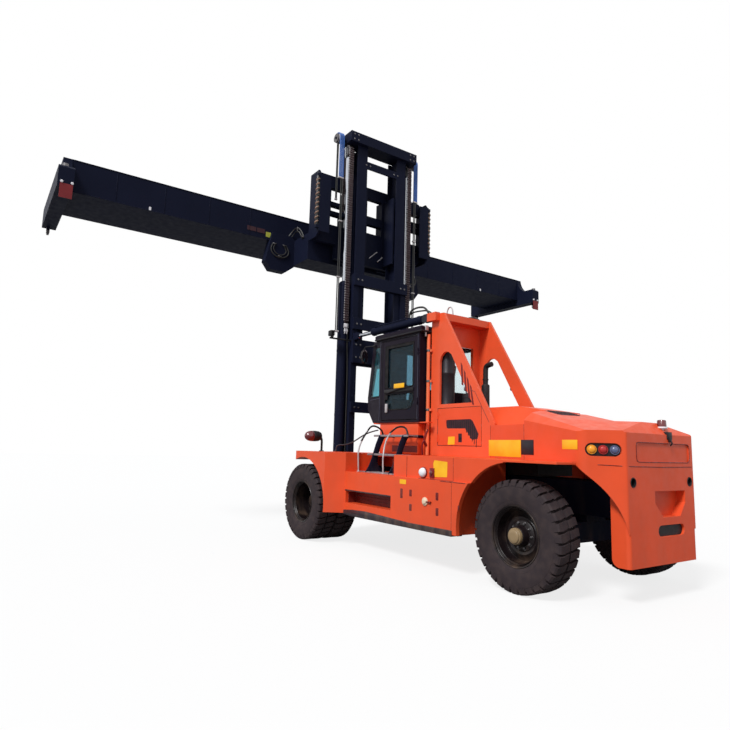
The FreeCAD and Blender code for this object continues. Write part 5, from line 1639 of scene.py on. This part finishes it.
# Mast and spreader
@dataclass
class Mast:
    """Bolts, clamps, chains, hoses, lamps and tilt cylinders of the mast."""

    rod: Pair = (0.415, 0.785)
    link: float = 0.0508
    sheave_z: float = 7.912
    chain_radius: float = 0.125
    hose_wheel: Pair = (0.460, 8.160)
    hose_radius: float = 0.120
    tilt_y: float = 0.610
    tilt_z: float = 3.880
    tilt_rear: float = -2.010

    def outer(self) -> None:
        """Builds the fittings of the outer mast."""
        form = Form()
        for z in (5.08, 4.15, 3.46, 3.72, 2.45, 1.22, 1.33):
            for y in (-0.60, -0.50, 0.50, 0.60):
                form.bolt(at(0.164, y, z), REAR, 0.015, 0.012)
        form.piece("outer_mast_bolts", STEEL, "outer_mast")
        form = Form()
        for sign in (1, -1):
            for z in (0.98, 2.30, 3.60, 4.90):
                form.lathe([(0.1040, -0.025), (0.1062, -0.022), (0.1062, 0.022), (0.1040, 0.025)],
                           at(self.rod[0], sign * self.rod[1], z), UP, 32)
            form.lathe([(0.050, 0.052), (0.070, 0.050), (0.092, 0.030), (0.1062, 0.000), (0.1062, -0.060),
                        (0.1040, -0.065)], at(self.rod[0], sign * self.rod[1], 5.000), UP, 32)
        form.piece("cylinder_bands", NAVY, "outer_mast")
        form = Form()
        for sign in (1, -1):
            form.tube([at(0.300, sign * 0.700, 1.10), at(0.300, sign * 0.705, 2.0),
                       at(0.300, sign * 0.705, 3.2), at(0.330, sign * 0.720, 3.75),
                       at(0.360, sign * 0.730, 4.70)], 0.012)
        form.piece("cylinder_pipes", HOSE_BLACK, "outer_mast")
        for side, sign in SIDES:
            self.work_lamp(side, sign)

    def work_lamp(self, side: str, sign: int) -> None:
        """Builds a finned work lamp on its bracket, facing ahead.

        Args:
            side: left or right.
            sign: 1 for the left, -1 for the right.
        """
        form = Form()
        form.block(at(0.222, sign * 0.680, 3.780), at(0.258, sign * 1.180, 3.810), 0.004)
        form.block(at(0.205, sign * 1.110, 3.810), at(0.250, sign * 1.160, 3.850), 0.004)
        form.block(at(0.200, sign * 1.090, 3.836), at(0.320, sign * 1.180, 3.950), 0.020, 3)
        for index in range(5):
            z = 3.850 + 0.021 * index
            form.block(at(0.168, sign * 1.098, z), at(0.204, sign * 1.172, z + 0.006), 0.001)
        form.piece("work_lamp_" + side, PLASTIC, "outer_mast", ("mast_work_lamps",) if sign > 0 else ())
        form = Form()
        form.block(at(0.316, sign * 1.098, 3.846), at(0.324, sign * 1.172, 3.940), 0.003)
        form.piece("work_lamp_glass_" + side, CLEAR_LENS, "outer_mast")

    def chain_line(self) -> list[Pair]:
        """Places the pins of one leaf chain.

        Returns:
            Points of (X, Z): up from the carriage, over the sheave and down to the anchor.
        """
        line = [(0.540, 6.600 + self.link * index) for index in range(26)]
        for step in range(9):
            turn = math.pi * step / 8
            line.append((self.rod[0] + self.chain_radius * math.cos(turn), self.sheave_z
                         + self.chain_radius * math.sin(turn)))
        return line + [(0.290, 7.875 - self.link * index) for index in range(74)]

    def chains(self) -> None:
        """Builds the two leaf chains, their pins and their anchors."""
        line = self.chain_line()
        plates, pins = Form(), Form()
        for index, (first, second) in enumerate(zip(line, line[1:])):
            start, end = at(first[0], self.rod[1], first[1]), at(second[0], self.rod[1], second[1])
            run = end - start
            turn = Matrix.Rotation(math.atan2(run.x, run.z), 3, "Y")
            lanes = (-0.036, -0.012, 0.012, 0.036) if index % 2 else (-0.042, -0.024, 0.0, 0.024, 0.042)
            for lane in lanes:
                middle = (start + end) / 2 + Vector((0.0, lane, 0.0))
                half = Vector((0.017, 0.0042, run.length / 2 + 0.004))
                plates.block(middle - half, middle + half, 0.0, 1, turn)
            pins.rod(start - Vector((0.0, 0.053, 0.0)), start + Vector((0.0, 0.053, 0.0)), 0.0125, sides=10)
        plates.mirror_copy().piece("leaf_chains", CHAIN_STEEL, "inner_mast", ("lift_chains",))
        pins.mirror_copy().piece("leaf_chain_pins", LIGHT_TUBE, "inner_mast")
        form = Form()
        form.block(at(0.262, 0.735, 4.052), at(0.306, 0.835, 4.145), 0.008)
        for y in (0.762, 0.808):
            form.rod(at(0.284, y, 3.930), at(0.284, y, 4.060), 0.014, edge=0.001)
            form.rod(at(0.284, y, 3.975), at(0.284, y, 4.000), 0.026, edge=0.003, sides=6)
            form.rod(at(0.284, y, 4.004), at(0.284, y, 4.024), 0.026, edge=0.003, sides=6)
        form.mirror_copy().piece("chain_anchors", BRIGHT_CAN, "inner_mast")

    def hoses(self) -> None:
        """Builds the hose strands over the side wheels: a wide blue set and two thin dark ones."""
        x, z = self.hose_wheel
        wheel = [(0.580, 6.860), (0.580, z)]
        for step in range(1, 12):
            turn = math.pi * step / 12
            wheel.append((x + self.hose_radius * math.cos(turn), z + self.hose_radius * math.sin(turn)))
        form = Form()
        for y in (0.955, 0.985, 1.015, 1.045):
            form.tube([at(x, y, z) for x, z in wheel[4:] + [(0.340, 8.160), (0.340, 7.240)]], 0.0140, 8,
                      smooth=False)
        form.mirror_copy().piece("mast_hose_set", HOSE_BLUE, "inner_mast", ("mast_hoses",))
        form = Form()
        for y in (0.948, 0.974):
            form.tube([at(x, y, z) for x, z in wheel[:6]], 0.0115, 8, smooth=False)
        for y in (0.962, 0.998):
            form.tube([at(0.340, y, 7.250), at(0.340, y, 3.960)], 0.0115, 8, smooth=False)
        form.mirror_copy().piece("mast_hose_tails", HOSE_BLACK, "inner_mast")
        form = Form()
        for z in (7.242, 6.30, 5.10):
            form.block(at(0.322, 0.938, z - 0.014), at(0.360, 1.062 if z > 7 else 1.020, z + 0.014), 0.004)
        form.block(at(0.562, 0.934, 6.846), at(0.600, 0.990, 6.880), 0.004)
        form.block(at(0.318, 0.930, 3.950), at(0.362, 1.030, 3.990), 0.004)
        form.lathe([(0.050, 0.060), (0.062, 0.064), (0.094, 0.062), (0.100, 0.054), (0.100, 0.042),
                    (0.050, 0.040)], at(self.hose_wheel[0], 0.997, self.hose_wheel[1]), LEFT, 40)
        hub = at(self.hose_wheel[0], 1.048, self.hose_wheel[1])
        for index in range(5):
            turn = 2 * math.pi * index / 5
            reach = Vector((math.cos(turn), 0.0, math.sin(turn)))
            form.rod(hub + reach * 0.018, hub + reach * 0.056, 0.010, sides=12)
        form.rod(hub - LEFT * 0.018, hub + LEFT * 0.018, 0.026, edge=0.004)
        form.mirror_copy().piece("hose_clamps", LIGHT_TUBE, "inner_mast")

    def inner(self) -> None:
        """Builds the fittings of the inner mast."""
        self.chains()
        self.hoses()
        form = Form()
        for y in (-0.80, -0.70, 0.70, 0.80):
            for z in (8.11, 8.22):
                form.bolt(at(0.164, y, z), REAR, 0.014, 0.010)
        for z in (7.675, 5.04, 3.39):
            for y in (-0.42, -0.32, 0.32, 0.42):
                form.bolt(at(0.256, y, z), REAR, 0.014, 0.010)
        form.piece("inner_mast_bolts", STEEL, "inner_mast")

    def tilt(self, side: str, sign: int) -> None:
        """Builds one tilt cylinder: barrel, gland, ports, eye and its looped hoses.

        Args:
            side: left or right.
            sign: 1 for the left, -1 for the right.
        """
        y = sign * self.tilt_y
        centre = at(0.0, y, self.tilt_z)
        form = Form()
        form.lathe([(0.0, -1.932), (0.066, -1.932), (0.072, -1.924), (0.072, -0.520), (0.080, -0.514),
                    (0.080, -0.462), (0.070, -0.452), (0.050, -0.448), (0.040, -0.448), (0.040, -0.470)],
                   centre, AHEAD, 40)
        form.lathe([(0.0725, -1.860), (0.079, -1.856), (0.079, -1.828), (0.0725, -1.824)], centre, AHEAD, 40)
        form.lathe([(0.0, -0.030), (0.058, -0.030), (0.065, -0.022), (0.065, 0.022), (0.058, 0.030),
                    (0.0, 0.030)], at(self.tilt_rear, y, self.tilt_z), LEFT, 32)
        form.block(at(-2.000, y - 0.028, 3.832), at(-1.925, y + 0.028, 3.928), 0.010)
        for x in (-1.560, -0.560):
            form.block(at(x - 0.030, y - 0.028, 3.944), at(x + 0.030, y + 0.028, 3.972), 0.006)
        form.tube([at(-0.560, sign * 0.652, 3.958), at(-0.640, sign * 0.676, 3.958),
                   at(-1.100, sign * 0.676, 3.950), at(-1.470, sign * 0.676, 3.956),
                   at(-1.560, sign * 0.652, 3.962)], 0.010)
        form.piece("tilt_cylinder_" + side, NAVY, "tilt_barrel_" + side, ("tilt_barrel_" + side,))
        form = Form()
        form.tube([at(-1.560, y, 3.966), at(-1.560, sign * 0.612, 4.060), at(-1.660, sign * 0.616, 4.112),
                   at(-1.850, sign * 0.620, 4.118), at(-2.030, sign * 0.626, 4.070),
                   at(-2.098, sign * 0.630, 3.965)], 0.017)
        form.tube([at(-1.520, sign * 0.585, 3.966), at(-1.510, sign * 0.585, 4.030),
                   at(-1.600, sign * 0.580, 4.066), at(-1.800, sign * 0.580, 4.060),
                   at(-2.040, sign * 0.580, 4.030), at(-2.120, sign * 0.580, 3.965)], 0.014)
        form.piece("tilt_hoses_" + side, HOSE_BLACK)

    def build(self) -> None:
        """Builds both stages."""
        self.outer()
        self.inner()
        for side, sign in SIDES:
            self.tilt(side, sign)


@dataclass
class Spreader:
    """Lines, labels, hoses and wrapped cables of the carriage and spreader."""

    beam_rear: float = 1.571
    beam_low: float = 6.005
    beam_top: float = 6.608

    def strands(self) -> None:
        """Builds the short hoses clipped along the brackets of the spreader and the carriage."""
        form = Form()
        form.tube([at(1.486, y, z) for y, z in ((1.930, 5.930), (1.985, 5.850), (1.970, 5.730),
                                                (1.850, 5.640), (1.690, 5.640), (1.570, 5.720),
                                                (1.560, 5.840), (1.640, 5.930))], 0.014)
        form.tube([at(1.486, y, z) for y, z in ((1.880, 5.930), (1.930, 5.850), (1.910, 5.760),
                                                (1.820, 5.700), (1.710, 5.700), (1.630, 5.760),
                                                (1.620, 5.840), (1.690, 5.930))], 0.011)
        form.tube([at(1.556, 1.560, 6.160), at(1.540, 1.500, 6.260), at(1.470, 1.452, 6.350),
                   at(1.340, 1.438, 6.350), at(1.220, 1.438, 6.260), at(1.120, 1.438, 6.150),
                   at(1.060, 1.438, 6.040)], 0.015)
        form.tube([at(1.556, 1.500, 6.140), at(1.520, 1.460, 6.220), at(1.430, 1.438, 6.280),
                   at(1.320, 1.438, 6.260), at(1.210, 1.438, 6.170), at(1.120, 1.438, 6.040)], 0.012)
        form.mirror_copy().piece("bracket_hoses", HOSE_BLACK, "spreader")
        form = Form()
        for y, z in ((1.905, 5.925), (1.665, 5.925), (1.770, 5.670)):
            form.block(at(1.468, y - 0.045, z - 0.012), at(1.500, y + 0.045, z + 0.012), 0.004)
        form.block(at(1.330, 1.420, 6.250), at(1.375, 1.458, 6.360), 0.006)
        form.block(at(1.070, 1.420, 6.060), at(1.130, 1.456, 6.085), 0.006)
        form.mirror_copy().piece("bracket_clips", STEEL, "spreader")
        form = Form()
        form.tube([at(0.646, 0.020, 5.780), at(0.644, -0.060, 5.850), at(0.644, -0.160, 5.940),
                   at(0.648, -0.190, 5.960)], 0.012)
        form.tube([at(0.646, -0.200, 5.740), at(0.644, -0.260, 5.790), at(0.646, -0.330, 5.870)], 0.014)
        form.piece("carriage_pipes", LIGHT_TUBE, "carriage")

    def beam(self) -> None:
        """Builds the lines, plates, labels and tags on the spreader."""
        form = Form()
        for low in (self.beam_low, self.beam_top - 0.012):
            form.block(at(self.beam_rear - 0.010, -5.849, low),
                       at(self.beam_rear + 0.002, 5.849, low + 0.012), 0.003)
        form.piece("beam_flange_lines", NAVY, "spreader")
        form = Form()
        for sign in (1, -1):
            for index in range(4):
                y = sign * (2.45 + 0.88 * index)
                form.block(at(self.beam_rear - 0.006, y - 0.006, self.beam_low + 0.004),
                           at(self.beam_rear + 0.002, y + 0.006, self.beam_top - 0.004), 0.002)
        form.piece("beam_weld_lines", NAVY, "spreader")
        form = Form()
        for low, high, z in ((2.105, 2.285, 6.118), (2.305, 2.505, 6.118)):
            plate = rounded([(high, z), (low, z), (low, z + 0.096), (high, z + 0.096)], 0.008)
            form.sheet([at(self.beam_rear, y, height) for y, height in plate], REAR, 0.006)
        form.piece("spreader_red_plates", VENT_BLACK, "spreader")
        form = Form()
        label = rounded([(2.078, 6.062), (1.941, 6.062), (1.941, 6.171), (2.078, 6.171)], 0.008)
        form.sheet([at(self.beam_rear, y, z) for y, z in label], REAR, 0.003)
        form.piece("spreader_lime_label", LIME, "spreader")
        form = Form()
        for y in (4.473, -4.347):
            tag = rounded([(y + 0.020, 6.008), (y - 0.020, 6.008), (y - 0.020, 6.085), (y + 0.020, 6.085)],
                          0.006)
            form.sheet([at(self.beam_rear, side, z) for side, z in tag], REAR, 0.003)
        for y in (5.875, 6.035):
            form.rod(at(1.006, y, 5.925), at(0.985, y, 5.925), 0.024, edge=0.005)
            form.rod(at(1.006, -y, 5.925), at(0.985, -y, 5.925), 0.024, edge=0.005)
        form.piece("spreader_white_tags", WHITE, "spreader")

    def carriage(self) -> None:
        """Builds the bolts and the wrapped cable on the carriage."""
        form = Form()
        for sign in (1, -1):
            for z in (6.20, 6.50, 6.80, 7.10):
                form.bolt(at(0.660, sign * 1.30, z), REAR, 0.015, 0.010)
        form.piece("carriage_bolts", STEEL, "carriage")
        for side, sign in SIDES:
            form = Form()
            turns, line = 10, []
            for step in range(turns * 16 + 1):
                turn = 2 * math.pi * step / 16
                line.append(at(0.430 + 0.026 * math.cos(turn), sign * (1.492 + 0.026 * math.sin(turn)),
                               6.140 + step * 1.010 / (turns * 16)))
            form.tube(line, 0.016, 8, smooth=False)
            form.piece("cable_wrap_" + side, WRAP_BROWN, "carriage", ("carriage_cable",) if sign > 0 else ())
            form = Form()
            form.rod(at(0.430, sign * 1.492, 6.110), at(0.430, sign * 1.492, 7.180), 0.026, edge=0.004)
            form.tube([at(0.430, sign * 1.492, 7.170), at(0.435, sign * 1.490, 7.240),
                       at(0.460, sign * 1.470, 7.262), at(0.500, sign * 1.430, 7.240),
                       at(0.510, sign * 1.400, 7.180)], 0.020)
            for z in (6.30, 6.75, 7.10):
                form.block(at(0.395, sign * 1.440, z - 0.012), at(0.465, sign * 1.520, z + 0.012), 0.006)
            form.piece("cable_core_" + side, HOSE_BLACK, "carriage")

    def build(self) -> None:
        """Builds the fittings of the carriage and the spreader."""
        self.beam()
        self.carriage()
        self.strands()


# Stage
@dataclass
class Studio:
    """The floor, lamps, world and camera."""

    place: Point = (-9.43671, 6.87502, 1.67990)
    yaw: float = -34.11614
    pitch: float = 8.06990
    roll: float = 1.69845
    lens: float = 28.376
    sensor: float = 36.0
    sight: float = 500.0
    floor_size: float = 60.0
    floor_pale: float = 0.90
    floor_calm: float = 0.30
    floor_glow: float = 0.80
    sun_power: float = 2.9
    sun_spread: float = 14.0
    sun_heading: Point = (0.69, -1.95, -2.04)
    sky: Point = (0.95, 0.97, 1.0)
    sky_power: float = 0.45

    def floor(self) -> None:
        """Builds the plain pale floor, white to the eye and calmer in the light that it returns."""
        form = Form()
        bmesh.ops.create_grid(form.bm, x_segments=1, y_segments=1, size=self.floor_size)
        mesh = bpy.data.meshes.new("floor")
        form.bm.to_mesh(mesh)
        form.bm.free()
        floor = bpy.data.objects.new("floor", mesh)
        bpy.context.scene.collection.objects.link(floor)
        graph = Graph("studio_floor")
        pale = graph.node("ShaderNodeBsdfDiffuse", {"Color": grey(self.floor_pale)})
        calm = graph.node("ShaderNodeBsdfDiffuse", {"Color": grey(self.floor_calm)})
        white = graph.node("ShaderNodeEmission", {"Color": grey(1.0), "Strength": 1.0})
        lit = graph.node("ShaderNodeMixShader", {0: self.floor_glow, 1: pale.outputs[0], 2: white.outputs[0]})
        seen = graph.seen("Camera", "Transmission")
        mix = graph.node("ShaderNodeMixShader", {0: seen, 1: calm.outputs[0], 2: lit.outputs[0]})
        graph.tree.links.new(mix.outputs[0], graph.output.inputs["Surface"])
        mesh.materials.append(graph.material)

    def lamps(self) -> None:
        """Sets the soft sun and the world's light, with a white background."""
        lamp = bpy.data.lights.new("key", "SUN")
        lamp.energy = self.sun_power
        lamp.angle = math.radians(self.sun_spread)
        holder = bpy.data.objects.new("key", lamp)
        holder.rotation_euler = Vector(self.sun_heading).to_track_quat("-Z", "Y").to_euler()
        bpy.context.scene.collection.objects.link(holder)
        world = bpy.data.worlds.new("studio")
        bpy.context.scene.world = world
        world.use_nodes = True
        graph = Graph("studio_world", world.node_tree)
        light = graph.node("ShaderNodeBackground", {"Color": (*self.sky, 1.0), "Strength": self.sky_power})
        white = graph.node("ShaderNodeBackground", {"Color": grey(1.0), "Strength": 1.0})
        seen = graph.seen("Camera", "Glossy", "Transmission")
        mix = graph.node("ShaderNodeMixShader", {0: seen, 1: light.outputs[0], 2: white.outputs[0]})
        graph.tree.links.new(mix.outputs[0], graph.output.inputs["Surface"])

    def camera(self) -> None:
        """Places the camera."""
        yaw, pitch, roll = (math.radians(value) for value in (self.yaw, self.pitch, self.roll))
        ahead = Vector((math.cos(pitch) * math.cos(yaw), math.cos(pitch) * math.sin(yaw), math.sin(pitch)))
        right = ahead.cross(UP).normalized()
        upright = right.cross(ahead)
        across = right * math.cos(roll) + upright * math.sin(roll)
        above = upright * math.cos(roll) - right * math.sin(roll)
        turn = Matrix((across, above, -ahead)).transposed()
        data = bpy.data.cameras.new("camera")
        data.lens = self.lens
        data.sensor_width = self.sensor
        data.clip_end = self.sight
        camera = bpy.data.objects.new("camera", data)
        camera.matrix_world = Matrix.Translation(at(*self.place)) @ turn.to_4x4()
        bpy.context.scene.collection.objects.link(camera)
        bpy.context.scene.camera = camera

    def build(self) -> None:
        """Sets the stage."""
        bpy.context.scene.view_settings.view_transform = "Standard"
        self.camera()
        self.lamps()
        self.floor()


def main() -> None:
    """Builds the stage and every piece in order."""
    logging.basicConfig(level=logging.INFO, format="%(name)s: %(message)s")
    Studio().build()
    dress_nodes()
    RunningGear().build()
    TankBoxes().build()
    TailBody().build()
    Gantry().build()
    Steps().build()
    FenderLamps().build()
    Cab().build()
    Mast().build()
    Spreader().build()


if __name__ == "__main__":
    main()
